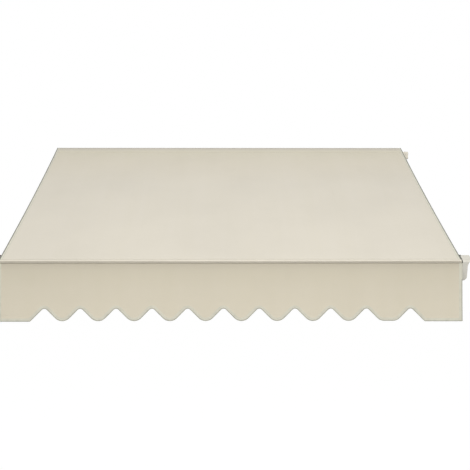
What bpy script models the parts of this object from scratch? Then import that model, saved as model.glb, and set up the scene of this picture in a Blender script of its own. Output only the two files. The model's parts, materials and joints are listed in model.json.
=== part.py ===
"""Folding arm awning with an open roller, two spring arms, a square wall bar and a scalloped valance.

World frame: X runs along the wall, +Z is up, the wall is the plane Y = 0 and the awning
reaches out towards -Y. The origin is on the wall, midway, level with the square bar.
Side views are drawn as (forward, up) pairs, where forward is the distance from the wall.
Arms are drawn in the plane that the pitch tilts: local X along the wall, local -Y outwards.
"""

import math

import bmesh
import bpy
from mathutils import Matrix, Vector

# Cloth
FABRIC_WIDTH = 1.917
CLOTH = 0.0012
VALANCE_DROP = 0.2505
SCALLOP_PITCH = 0.148
SCALLOP_DEPTH = 0.0526
NOTCH_RADIUS = 0.0145
FLANK_ANGLE = math.radians(45)
FIRST_NOTCH = 0.1885
LAST_LOBE_EXTRA = 0.028
LEAST_END_FLAT = 0.200
HEM_ROD_RADIUS = 0.0020

# Reach and pitch
PROJECTION = 1.48
PITCH = math.radians(20)
OPEN_ANGLE = math.radians(74)
PITCH_DOWN = math.radians(15)
PITCH_UP = math.radians(10)

# Clearances
GAP = 0.0003
RUNNING_GAP = 0.0004
PAST_FACE = 0.010
JOINED_IN = 0.002
MERGE = 0.00001
SHORTEST_EDGE = 0.0005

# Square wall bar
BAR_SIZE = 0.040
BAR_WALL = 0.0025
BAR_CORNER = 0.004
COLLAR_CORNER = 0.006
BAR_FORWARD = 0.060
BAR_OVERHANG = 0.022
BAR_CAP_PLATE = 0.003
BAR_CAP_STUB = 0.016

# Wall brackets
BRACKET_INSET = 0.075
BRACKET_WIDTH = 0.060
BRACKET_HEIGHT = 0.150
STEEL = 0.005
WALL_HOLE_RADIUS = 0.0055
WALL_HOLE_SPACING = 0.110
LIP_HEIGHT = 0.012
STRAP_PLAY = 0.003
STRAP_INSET = 0.006
CLAMP_BOLT_RADIUS = 0.004
CLAMP_BOLT_FORWARD = 0.020
CLAMP_BOLT_FLATS = 0.013
CLAMP_BOLT_HEAD = 0.0055
CLAMP_BOLT_BELOW = 0.014

# Roller
ROLLER_FORWARD = 0.125
ROLLER_UP = 0.088
TUBE_RADIUS = 0.035
TUBE_WALL = 0.0015
ROLL_THICKNESS = 0.0040
ROLLER_PIN_RADIUS = 0.006
BUSH_WALL = 0.004
BUSH_FLANGE = 0.003
BUSH_LIP = 0.002
PLUG_LENGTH = 0.030
KEDER_DEPTH = 0.007
KEDER_PLAY = 0.0005
PIN_ROOT = 0.010
PIN_PAST_PLATE = 0.002
PLATE_INSET = 0.0035
END_PLATE = 0.004
PLATE_HEAD_RADIUS = 0.022
COLLAR_LENGTH = 0.022
COLLAR_WALL = 0.006
WRAP_ANGLE = math.radians(95)

# Gearbox, a single-start worm on a nine-tooth wheel
MODULE = 0.003
TEETH = 9
WORM_RADIUS = 0.008
THREAD_HALF = 0.0018
THREAD_RISE = 0.0019
THREAD_TURNS = 2.2
FACE_WIDTH = 0.008
TOOTH_HALF = 0.0019
TOOTH_ROOT = 0.0028
TOOTH_TIP = 0.0020
WHEEL_ROOM = 0.0035
WORM_ROOM = 0.0011
ROOM_CORNER = 0.003
GEARBOX_DEPTH = 0.028
GEARBOX_WALL = 0.0028
WORM_ROOM_HEIGHT = 0.034
WORM_ROOM_MIDDLE = -0.003
WORM_SHAFT_RADIUS = 0.005
WHEEL_SHAFT_RADIUS = 0.008
SHAFT_PLAY = 0.002
SQUARE_DRIVE = 0.012
SQUARE_LENGTH = 0.022
SOCKET_FLOOR = 0.005
EYE_RADIUS = 0.0125
EYE_WIRE = 0.0035
EYE_DROP = 0.030

# Arm mounts on the square bar
SHOULDER_INSET = 0.158
MOUNT_HALF = 0.0225
CHEEK = 0.007
TILT_REACH = 0.028
TILT_DROP = 0.012
TILT_PIN_RADIUS = 0.005
CHEEK_ROUND = 0.0135
LOCK_RADIUS = 0.018
LOCK_ROUND = 0.0105
LOCK_PIN_RADIUS = 0.004
LOCK_ANGLE = math.radians(10)
SLOT_SLACK = math.radians(1)
TILT_PIN_HEAD, TILT_NUT_FLATS = 0.0085, 0.015
LOCK_PIN_HEAD, LOCK_NUT_FLATS = 0.0075, 0.013
SHOULDER_REACH = 0.052
YOKE_ROUND = 0.0125
YOKE_TAIL_ROUND = 0.0090
YOKE_WEB_BACK = 0.010
YOKE_WEB_CLEAR = 0.014
EAR = 0.007

# Arms
UPPER_WIDTH, UPPER_HEIGHT = 0.032, 0.046
FORE_WIDTH, FORE_HEIGHT = 0.028, 0.040
ARM_WALL = 0.0025
ARM_CORNER = 0.007
ARM_OFFSET = 0.002
COLLAR_PROUD = 0.002
BARREL_RADIUS = 0.018
BARREL_HALF = 0.0235
PIN_RADIUS = 0.006
PIN_HEAD_RADIUS = 0.0095
PIN_HEAD = 0.003
NECK = 0.030
FITTING_COLLAR = 0.022
FITTING_PLUG = 0.045
ELBOW_RADIUS = 0.0215
ELBOW_NECK = 0.036
TONGUE_HALF = 0.0130
FORK_EAR = 0.009
EAR_CLEAR = 0.004
WRIST_RADIUS = 0.016
WRIST_HALF = 0.0175
CABLE_RADIUS = 0.0024
CABLE_PLAY = 0.0009
CABLE_ANCHOR = 0.016
SPRING_RADIUS = 0.0105
SPRING_WIRE = 0.0021
SPRING_TURNS = 10
SPRING_DISC = 0.006
CABLE_LEAD = 0.030

# Front bar and its end caps
FRONT_DEPTH = 0.050
WRIST_STANDOFF = 0.050
FOLD_ABOVE_WRIST = 0.045
FRONT_DROP = 0.082
FRONT_LEAN = 0.0160
FRONT_WALL = 0.0022
FRONT_BACK_STEP = 0.003
HEEL_RADIUS = 0.006
TOE_RADIUS = 0.008
NOSE_RADIUS = 0.0041
THROAT_WALL = 0.0014
THROAT_DROP = 0.001
GROOVE_RADIUS = 0.0027
VALANCE_SLOT_HALF = 0.0017
CANOPY_SLOT_HALF = 0.0011
CANOPY_GROOVE_SETBACK = 0.016
FLOOR_CHAMFER = 0.003
GROOVE_WEB = 0.014
NOSE_WEB = 0.010
GROOVE_LIP = 0.0012
TRACK_HALF = 0.007
TRACK_DEPTH = 0.006
TRACK_BELOW_FOLD = 0.045
SEAL_GAP = 0.003
CAP_WIDTH = 0.0385
CAP_LOWER_WIDTH = 0.0215
CAP_PROUD = 0.002
CAP_STEP_DROP = 0.005
CAP_BLEND = 0.019
CAP_BLEND_SHARE = 0.6
CAP_BOTTOM_RADIUS = 0.018
CAP_STUB = 0.025
CAP_STUB_PLAY = 0.0005
CLEVIS_PLATE = 0.006
CLEVIS_PLATE_HALF = 0.026
CLEVIS_WIDTH_HALF = 0.030
CLEVIS_WEB_HALF = 0.012
CLEVIS_EAR = 0.006
CLEVIS_EAR_ROOT = 0.013


# Side-view geometry worked out from the sizes above, as (forward, up) vectors

def slope(angle):
    """Unit vectors down a slope and square to it, as (forward, up)."""
    return Vector((math.cos(angle), -math.sin(angle))), Vector((math.sin(angle), math.cos(angle)))


ALONG, NORMAL = slope(PITCH)
BAR_AXIS = Vector((BAR_FORWARD, 0))
BAR_HALF = BAR_SIZE / 2
ROLLER_AXIS = Vector((ROLLER_FORWARD, ROLLER_UP))
TILT_AXIS = Vector((BAR_FORWARD + BAR_HALF + TILT_REACH, -TILT_DROP))
SHOULDER = TILT_AXIS + SHOULDER_REACH * ALONG
WRIST_FORWARD = PROJECTION - FRONT_DEPTH - WRIST_STANDOFF
ARM_REACH = (WRIST_FORWARD - SHOULDER.x) / math.cos(PITCH)
ARM_LENGTH = ARM_REACH / (2 * math.sin(OPEN_ANGLE))
WRIST = SHOULDER + ARM_REACH * ALONG
FOLD = WRIST + Vector((FRONT_DEPTH + WRIST_STANDOFF, FOLD_ABOVE_WRIST))
SHOULDER_X = FABRIC_WIDTH / 2 - SHOULDER_INSET
ROLL_RADIUS = TUBE_RADIUS + ROLL_THICKNESS
CANOPY_RADIUS = ROLL_RADIUS + GAP
TO_FOLD = FOLD - ROLLER_AXIS
CANOPY_SLOPE = math.atan2(-TO_FOLD.y, TO_FOLD.x) + math.asin(CANOPY_RADIUS / TO_FOLD.length)
CLOTH_ALONG, CLOTH_NORMAL = slope(CANOPY_SLOPE)
NOSE = FOLD + Vector((-NOSE_RADIUS, -NOSE_RADIUS - GAP))
GEARBOX_START = FABRIC_WIDTH / 2 + PLATE_INSET + END_PLATE + GAP
GEAR_MID = GEARBOX_START + GEARBOX_DEPTH / 2
WHEEL_RADIUS = MODULE * TEETH / 2
LEAD = math.pi * MODULE
WORM_OFFSET = WHEEL_RADIUS + WORM_RADIUS
NOTCHES = 1 + int((FABRIC_WIDTH - FIRST_NOTCH - LAST_LOBE_EXTRA - LEAST_END_FLAT) / SCALLOP_PITCH)


# Materials

def material(name, colour, roughness, metallic=0.0):
    made = bpy.data.materials.new(name)
    made.use_nodes = True
    shader = made.node_tree.nodes["Principled BSDF"]
    shader.inputs["Base Color"].default_value = (*colour, 1)
    shader.inputs["Roughness"].default_value = roughness
    shader.inputs["Metallic"].default_value = metallic
    made.diffuse_color = (*colour, 1)
    return made


def clear_scene():
    for item in list(bpy.data.objects):
        bpy.data.objects.remove(item)


# Outlines, as lists of two-number points

def circle(radius, steps=16, centre=(0, 0), start=0.0, sweep=2 * math.pi):
    """Points on a circle, or on an arc from start with both of its ends."""
    whole = abs(sweep - 2 * math.pi) < 1e-9
    count = steps if whole else steps + 1
    angles = [start + sweep * i / steps for i in range(count)]
    return [(centre[0] + radius * math.cos(a), centre[1] + radius * math.sin(a)) for a in angles]


def rectangle(low_a, high_a, low_b, high_b):
    return [(low_a, low_b), (high_a, low_b), (high_a, high_b), (low_a, high_b)]


def rounded(width, height, radius, centre=(0, 0), steps=2):
    """A rectangle with round corners, anticlockwise from the right."""
    points = []
    corners = ((1, -1, -90), (1, 1, 0), (-1, 1, 90), (-1, -1, 180))
    for side_a, side_b, start in corners:
        middle = (centre[0] + side_a * (width / 2 - radius), centre[1] + side_b * (height / 2 - radius))
        points += circle(radius, steps, middle, math.radians(start), math.pi / 2)
    return points


def hexagon(across_flats, turned=0.0):
    """A hexagon of twelve points, so that it lofts to a twelve-sided round."""
    corner = across_flats / 2 / math.cos(math.pi / 6)
    points = []
    for i in range(12):
        angle = turned + i * math.pi / 6
        radius = corner if i % 2 == 0 else across_flats / 2
        points.append((radius * math.cos(angle), radius * math.sin(angle)))
    return points


def hull(*groups):
    """The outline that a stretched band would take round all the points."""
    points = sorted({(round(p[0], 7), round(p[1], 7)) for group in groups for p in group})

    def half(run):
        chain = []
        for p in run:
            while len(chain) > 1:
                (ax, ay), (bx, by) = chain[-2], chain[-1]
                if (bx - ax) * (p[1] - ay) - (by - ay) * (p[0] - ax) > 1e-12:
                    break
                chain.pop()
            chain.append(p)
        return chain[:-1]

    return half(points) + half(points[::-1])


def grown(outline, distance):
    """An outline drawn anticlockwise, with every edge moved outwards by the distance."""
    points = [Vector(p) for p in outline]
    result = []
    for i, here in enumerate(points):
        before = (here - points[i - 1]).normalized()
        after = (points[(i + 1) % len(points)] - here).normalized()
        outwards = Vector((before.y, -before.x))
        bisector = (outwards + Vector((after.y, -after.x))).normalized()
        result.append(tuple(here + bisector * distance / bisector.dot(outwards)))
    return result


def moved(outline, shift):
    return [(p[0] + shift[0], p[1] + shift[1]) for p in outline]


def flipped(outline, hand):
    """The outline as drawn for the left arm, or mirrored in X for the right one."""
    return [(hand * p[0], p[1]) for p in outline]


# Solids

def corner(axis, point, along):
    """A drawn point in space: X parts are drawn (forward, up), Y parts (x, up), Z parts (x, y)."""
    if axis == "X":
        return Vector((along, -point[0], point[1]))
    if axis == "Y":
        return Vector((point[0], -along, point[1]))
    return Vector((point[0], point[1], along))


def new_object(name, mesh, finish, parent=None, smooth=False):
    made = bpy.data.objects.new(name, mesh)
    bpy.context.scene.collection.objects.link(made)
    made.data.materials.append(finish)
    made.parent = parent
    if smooth and made.type == "MESH":
        mesh.shade_smooth()
        mesh.set_sharp_from_angle(angle=math.radians(35))
    return made


def loft(name, axis, sections, finish, parent=None, smooth=False):
    """A closed solid through outlines with equal point counts, set at distances along an axis."""
    shape = bmesh.new()
    rings = [[shape.verts.new(corner(axis, p, along)) for p in outline] for outline, along in sections]
    for first, second in zip(rings, rings[1:]):
        for i in range(len(first)):
            shape.faces.new((first[i - 1], first[i], second[i], second[i - 1]))
    shape.faces.new(rings[0])
    shape.faces.new(rings[-1])
    bmesh.ops.recalc_face_normals(shape, faces=shape.faces)
    mesh = bpy.data.meshes.new(name)
    shape.to_mesh(mesh)
    shape.free()
    return new_object(name, mesh, finish, parent, smooth)


def prism(name, axis, outline, low, high, finish, parent=None, smooth=False):
    return loft(name, axis, [(outline, low), (outline, high)], finish, parent, smooth)


def combine(target, operation, helpers):
    """Cuts helpers from the target, joins them to it or keeps what they share."""
    for helper in helpers:
        helper.hide_render = True
        helper.display_type = "WIRE"
        helper.hide_set(True)
        modifier = target.modifiers.new(operation.lower() + "_" + helper.name, "BOOLEAN")
        modifier.operation = operation
        modifier.object = helper
    return target


def cut(target, *helpers):
    return combine(target, "DIFFERENCE", helpers)


def join(target, *helpers):
    return combine(target, "UNION", helpers)


def headed_pin(name, low, high, radius, finish, parent, axis="Z", head=PIN_HEAD_RADIUS, nut=0.0):
    """A plain pin with a flat head, and a nut on its other end where one is asked for."""
    small, large = circle(radius, 12), circle(head, 12)
    sections = [(small, low - PIN_HEAD), (small, high), (large, high), (large, high + PIN_HEAD)]
    if nut:
        hexagonal = hexagon(nut)
        sections = [(hexagonal, low - PIN_HEAD), (hexagonal, low), (small, low)] + sections[1:]
    return loft(name, axis, sections, finish, parent, smooth=True)


def pivot(name, location, turn=(0, 0, 0), parent=None):
    """An empty on a joint's axis, which carries the pieces that turn there."""
    made = bpy.data.objects.new(name, None)
    bpy.context.scene.collection.objects.link(made)
    made.location = location
    made.rotation_euler = turn
    made.parent = parent
    return made


def space(point, x=0.0):
    """A side-view point in space."""
    return Vector((x, -point[0], point[1]))


def tube_along(name, points, radius, finish, parent=None, sides=2):
    """A round rod with filled ends along a line of points."""
    curve = bpy.data.curves.new(name, "CURVE")
    curve.dimensions = "3D"
    curve.bevel_depth = radius
    curve.bevel_resolution = sides
    curve.use_fill_caps = True
    line = curve.splines.new("POLY")
    line.points.add(len(points) - 1)
    for target, point in zip(line.points, points):
        target.co = (*point, 1)
    return new_object(name, curve, finish, parent)


def side_name(side):
    return "left" if side < 0 else "right"


# Square bar with its end caps

def build_wall_bar(finishes):
    half_length = FABRIC_WIDTH / 2 + BAR_OVERHANG
    inner = BAR_SIZE - 2 * BAR_WALL
    outline = rounded(BAR_SIZE, BAR_SIZE, BAR_CORNER, BAR_AXIS)
    bore = rounded(inner, inner, BAR_CORNER / 2, BAR_AXIS)
    bar = prism("wall_bar", "X", outline, -half_length, half_length, finishes["paint"])
    beyond = half_length + PAST_FACE
    cut(bar, prism("bore_wall_bar", "X", bore, -beyond, beyond, finishes["paint"]))
    stub = rounded(inner - 2 * GAP, inner - 2 * GAP, BAR_CORNER / 2, BAR_AXIS)
    for side in (-1, 1):
        end = half_length + GAP
        sections = [
            (stub, side * (end - BAR_CAP_STUB)),
            (stub, side * end),
            (outline, side * end),
            (outline, side * (end + BAR_CAP_PLATE)),
        ]
        loft(f"bar_cap_{side_name(side)}", "X", sections, finishes["plastic"])


# Wall brackets, clamp straps and their bolts

def build_wall_bracket(side, finishes):
    name = side_name(side)
    middle = side * (FABRIC_WIDTH / 2 - BRACKET_INSET)
    low, high = middle - BRACKET_WIDTH / 2, middle + BRACKET_WIDTH / 2
    top, bottom = BAR_HALF + GAP, -BAR_HALF - GAP
    front = BAR_FORWARD + BAR_HALF + GAP
    back = BAR_FORWARD - BAR_HALF - GAP
    shelf_end = BAR_FORWARD + BAR_HALF / 2
    outline = [
        (0, -BRACKET_HEIGHT / 2),
        (STEEL, -BRACKET_HEIGHT / 2),
        (STEEL, bottom - STEEL),
        (front + STEEL, bottom - STEEL),
        (front + STEEL, bottom + LIP_HEIGHT),
        (front, bottom + LIP_HEIGHT),
        (front, bottom),
        (back, bottom),
        (back, top),
        (shelf_end, top),
        (shelf_end, top + STEEL),
        (STEEL, top + STEEL),
        (STEEL, BRACKET_HEIGHT / 2),
        (0, BRACKET_HEIGHT / 2),
    ]
    bracket = prism(f"wall_bracket_{name}", "X", outline, low, high, finishes["paint"])
    pocket = rectangle(STEEL, back - STEEL, bottom, top)
    spread = (low - PAST_FACE, high + PAST_FACE)
    helpers = [prism(f"pocket_{name}", "X", pocket, *spread, finishes["paint"])]
    for place, up in (("upper", WALL_HOLE_SPACING / 2), ("lower", -WALL_HOLE_SPACING / 2)):
        hole = circle(WALL_HOLE_RADIUS, 12, (middle, up))
        depth = (-PAST_FACE, STEEL + PAST_FACE)
        helpers.append(prism(f"wall_hole_{place}_{name}", "Y", hole, *depth, finishes["paint"]))
    bolt_hole = circle(CLAMP_BOLT_RADIUS + RUNNING_GAP, 12, (middle, -CLAMP_BOLT_FORWARD))
    reach = (top - JOINED_IN, top + 3 * STEEL)
    helpers.append(prism(f"shelf_hole_{name}", "Z", bolt_hole, *reach, finishes["paint"]))
    cut(bracket, *helpers)

    strap_base = top + STEEL + GAP
    strap_end = bottom + LIP_HEIGHT + STRAP_PLAY
    strap_outline = [
        (STEEL + STRAP_PLAY, strap_base),
        (front, strap_base),
        (front, strap_end),
        (front + STEEL, strap_end),
        (front + STEEL, strap_base + STEEL),
        (STEEL + STRAP_PLAY, strap_base + STEEL),
    ]
    sides = (low + STRAP_INSET, high - STRAP_INSET)
    strap = prism(f"clamp_strap_{name}", "X", strap_outline, *sides, finishes["paint"])
    cut(strap, prism(f"strap_hole_{name}", "Z", bolt_hole, *reach, finishes["paint"]))

    head_base = strap_base + STEEL + GAP
    shank = circle(CLAMP_BOLT_RADIUS, 12)
    head = hexagon(CLAMP_BOLT_FLATS)
    head_top = head_base + CLAMP_BOLT_HEAD
    sections = [(shank, top - CLAMP_BOLT_BELOW), (shank, head_base), (head, head_base), (head, head_top)]
    bolt = loft(f"clamp_bolt_{name}", "Z", sections, finishes["zinc"])
    bolt.location = (middle, -CLAMP_BOLT_FORWARD, 0)


# Roller end brackets with the bearing bush

def bar_collar_outline():
    """The outside of a collar that is pushed over the square bar."""
    size = BAR_SIZE + 2 * COLLAR_WALL
    return rounded(size, size, COLLAR_CORNER, BAR_AXIS)


def build_end_bracket(side, finishes):
    name = side_name(side)
    start = FABRIC_WIDTH / 2 + PLATE_INSET
    collar_outline = bar_collar_outline()
    plate_outline = hull(collar_outline, circle(PLATE_HEAD_RADIUS, 16, ROLLER_AXIS))
    faces = (side * start, side * (start + END_PLATE))
    plate = prism(f"roller_bracket_{name}", "X", plate_outline, *faces, finishes["paint"])
    collar_start = start - COLLAR_LENGTH
    collar_faces = (side * collar_start, side * (start + JOINED_IN))
    join(plate, prism(f"collar_{name}", "X", collar_outline, *collar_faces, finishes["paint"]))
    bar_hole = rounded(BAR_SIZE + 2 * GAP, BAR_SIZE + 2 * GAP, BAR_CORNER, BAR_AXIS)
    reach = (side * (collar_start - PAST_FACE), side * (start + END_PLATE + PAST_FACE))
    bore = ROLLER_PIN_RADIUS + RUNNING_GAP + BUSH_WALL + GAP
    if side > 0:
        bore = WHEEL_SHAFT_RADIUS + SHAFT_PLAY
    axle_hole = circle(bore, 16, ROLLER_AXIS)
    cut(
        plate,
        prism(f"bar_hole_{name}", "X", bar_hole, *reach, finishes["paint"]),
        prism(f"axle_hole_{name}", "X", axle_hole, *reach, finishes["paint"]),
    )


def build_bush(finishes):
    start = FABRIC_WIDTH / 2 + PLATE_INSET
    inner = ROLLER_PIN_RADIUS + RUNNING_GAP
    sleeve = circle(inner + BUSH_WALL, 14)
    flange = circle(inner + BUSH_WALL + BUSH_FLANGE, 14)
    sections = [
        (sleeve, -start - END_PLATE),
        (sleeve, -start + GAP),
        (flange, -start + GAP),
        (flange, -start + BUSH_LIP + GAP),
    ]
    bush = loft("roller_bush", "X", sections, finishes["plastic"], smooth=True)
    bush.location = space(ROLLER_AXIS)
    bore = circle(inner, 12)
    reach = END_PLATE + PAST_FACE
    hole = prism("bush_hole", "X", bore, -start - reach, -start + reach, finishes["plastic"])
    hole.location = space(ROLLER_AXIS)
    cut(bush, hole)


# Roller tube, its end plugs and the wound cloth

def tube_outline(radius, groove):
    """A tube section whose skin dips into a narrow keder groove on the lower side."""
    half = math.radians(7)
    skin = circle(radius, 23, start=-math.pi / 2 + half, sweep=2 * math.pi - 2 * half)
    return skin + [(-groove / 3, -radius + groove), (groove / 3, -radius + groove)]


def build_roller(finishes):
    axis = pivot("roller_axis", space(ROLLER_AXIS))
    half = FABRIC_WIDTH / 2
    skin = tube_outline(TUBE_RADIUS, KEDER_DEPTH)
    tube = prism("roller_tube", "X", skin, -half, half, finishes["zinc"], axis, True)
    bore = tube_outline(TUBE_RADIUS - TUBE_WALL, KEDER_DEPTH)
    beyond = half + PAST_FACE
    cut(tube, prism("tube_bore", "X", bore, -beyond, beyond, finishes["zinc"], axis))

    sides = 24
    clear_of_flats = (TUBE_RADIUS + GAP) / math.cos(math.pi / sides)
    outer, inner = circle(ROLL_RADIUS, sides), circle(clear_of_flats, sides)
    roll = prism("cloth_roll", "X", outer, -half, half, finishes["fabric"], axis, True)
    cut(roll, prism("roll_bore", "X", inner, -beyond, beyond, finishes["fabric"], axis))

    body = tube_outline(TUBE_RADIUS - TUBE_WALL - GAP, KEDER_DEPTH + KEDER_PLAY)
    left = prism("roller_plug_left", "X", body, -half + PLUG_LENGTH, -half, finishes["plastic"], axis)
    pin_faces = (-half + PIN_ROOT, -half - PLATE_INSET - END_PLATE - PIN_PAST_PLATE)
    pin_outline = circle(ROLLER_PIN_RADIUS, 12)
    join(left, prism("left_plug_pin", "X", pin_outline, *pin_faces, finishes["plastic"], axis))
    right = prism("roller_plug_right", "X", body, half - PLUG_LENGTH, half, finishes["plastic"], axis)
    opening = SQUARE_DRIVE + 2 * GAP
    socket = rectangle(-opening / 2, opening / 2, -opening / 2, opening / 2)
    floor = half - PLUG_LENGTH + SOCKET_FLOOR
    cut(right, prism("drive_socket", "X", socket, floor, beyond, finishes["plastic"], axis))
    return axis


# Gearbox

def wheel_outline(turned=0.0):
    """Wheel teeth as straight-flanked trapezoids, with a gap facing forward when turned is 0."""
    root, tip = WHEEL_RADIUS - TOOTH_ROOT, WHEEL_RADIUS + TOOTH_TIP
    flank = math.tan(math.radians(22))
    points = []
    for tooth in range(TEETH):
        middle = turned + (tooth + 0.5) * 2 * math.pi / TEETH
        for radius, side in ((root, -1), (tip, -1), (tip, 1), (root, 1)):
            half = TOOTH_HALF - (radius - WHEEL_RADIUS) * flank
            angle = middle + side * half / radius
            points.append((radius * math.cos(angle), radius * math.sin(angle)))
    return points


def build_wheel(axis, finishes):
    """The twist of the teeth follows the thread's lead angle where the two touch."""
    half = FACE_WIDTH / 2
    twist = LEAD / (2 * math.pi * WORM_RADIUS) / WHEEL_RADIUS
    sections = [(wheel_outline(-twist * x), GEAR_MID + x) for x in (-half, half)]
    wheel = loft("worm_wheel", "X", sections, finishes["zinc"], axis)
    shaft_end = GEARBOX_START + GEARBOX_DEPTH - GEARBOX_WALL / 2
    shaft = circle(WHEEL_SHAFT_RADIUS, 14)
    square_end = FABRIC_WIDTH / 2 + JOINED_IN
    square = rectangle(-SQUARE_DRIVE / 2, SQUARE_DRIVE / 2, -SQUARE_DRIVE / 2, SQUARE_DRIVE / 2)
    square_faces = (square_end - SQUARE_LENGTH, square_end + 2 * JOINED_IN)
    join(
        wheel,
        prism("wheel_shaft", "X", shaft, square_end, shaft_end, finishes["zinc"], axis),
        prism("square_drive", "X", square, *square_faces, finishes["zinc"], axis),
    )


def build_worm(finishes):
    """The worm turns about a vertical axis in front of the wheel and ends in the crank eye."""
    axis = pivot("worm_axis", space(ROLLER_AXIS + Vector((WORM_OFFSET, 0)), GEAR_MID))
    top = WORM_ROOM_MIDDLE + WORM_ROOM_HEIGHT / 2 - GAP
    bottom = -EYE_DROP - JOINED_IN / 2
    shaft = circle(WORM_SHAFT_RADIUS, 14)
    worm = prism("worm_shaft", "Z", shaft, bottom, top, finishes["zinc"], axis, True)

    shape = bmesh.new()
    steps = round(THREAD_TURNS * 12)
    flank = math.tan(math.radians(20))
    inner, outer = WORM_SHAFT_RADIUS - JOINED_IN / 2, WORM_RADIUS + THREAD_RISE
    rings = []
    for i in range(steps + 1):
        phase = math.pi / 2 + (i - steps / 2) * 2 * math.pi / 12
        rise = (i - steps / 2) * LEAD / 12
        ring = []
        for radius, side in ((inner, -1), (outer, -1), (outer, 1), (inner, 1)):
            half = THREAD_HALF - (radius - WORM_RADIUS) * flank
            height = rise + side * half
            ring.append(shape.verts.new((radius * math.cos(phase), radius * math.sin(phase), height)))
        rings.append(ring)
    for first, second in zip(rings, rings[1:]):
        for i in range(4):
            shape.faces.new((first[i - 1], first[i], second[i], second[i - 1]))
    shape.faces.new(rings[0])
    shape.faces.new(rings[-1])
    bmesh.ops.recalc_face_normals(shape, faces=shape.faces)
    mesh = bpy.data.meshes.new("thread")
    shape.to_mesh(mesh)
    shape.free()
    thread = new_object("thread", mesh, finishes["zinc"], axis)

    bpy.ops.mesh.primitive_torus_add(
        major_radius=EYE_RADIUS,
        minor_radius=EYE_WIRE,
        major_segments=16,
        minor_segments=6,
        location=(0, 0, 0),
        rotation=(math.pi / 2, 0, 0),
    )
    ring = bpy.context.object
    ring.name = "crank_eye"
    ring.parent = axis
    ring.location = (0, 0, -EYE_DROP - EYE_RADIUS)
    ring.data.materials.append(finishes["zinc"])
    join(worm, thread, ring)
    return axis


def build_gearbox(finishes):
    wheel_room = WHEEL_RADIUS + WHEEL_ROOM
    worm_room = WORM_RADIUS + THREAD_RISE + WORM_ROOM
    wall = GEARBOX_WALL
    room = (WORM_OFFSET, WORM_ROOM_MIDDLE)
    inner_seat = rounded(2 * worm_room, WORM_ROOM_HEIGHT, ROOM_CORNER, room)
    outer_seat = rounded(2 * (worm_room + wall), WORM_ROOM_HEIGHT + 2 * wall, 2 * ROOM_CORNER, room)
    outer = hull(circle(wheel_room + wall, 16), outer_seat)
    inner = hull(circle(wheel_room, 16), inner_seat)
    outer, inner = moved(outer, ROLLER_AXIS), moved(inner, ROLLER_AXIS)
    end = GEARBOX_START + GEARBOX_DEPTH
    halves = {
        "gearbox_base": (GEARBOX_START, GEAR_MID - GAP / 2),
        "gearbox_cover": (GEAR_MID + GAP / 2, end),
    }
    shaft_bore = circle(WHEEL_SHAFT_RADIUS + RUNNING_GAP, 14, ROLLER_AXIS)
    worm_bore = circle(WORM_SHAFT_RADIUS + RUNNING_GAP, 14, (GEAR_MID, -ROLLER_FORWARD - WORM_OFFSET))
    for name, (low, high) in halves.items():
        case = prism(name, "X", outer, low, high, finishes["paint"], smooth=False)
        cavity = (GEARBOX_START + GEARBOX_WALL, end - GEARBOX_WALL)
        shaft_reach = (GEARBOX_START - PAST_FACE, end - GEARBOX_WALL / 2 + GAP)
        cut(
            case,
            prism(f"cavity_{name}", "X", inner, *cavity, finishes["paint"]),
            prism(f"shaft_bore_{name}", "X", shaft_bore, *shaft_reach, finishes["paint"]),
            prism(f"worm_bore_{name}", "Z", worm_bore, ROLLER_UP - 4 * PAST_FACE, ROLLER_UP, finishes["paint"]),
        )


# Arm mounts: a collar with two slotted cheeks on the bar, and a yoke that tilts between them

def lock_point(turned=0.0):
    """The lock bolt in side view, below the tilt axis, turned with the yoke."""
    angle = -math.pi / 2 - LOCK_ANGLE + turned
    return Vector((LOCK_RADIUS * math.cos(angle), LOCK_RADIUS * math.sin(angle)))


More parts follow.
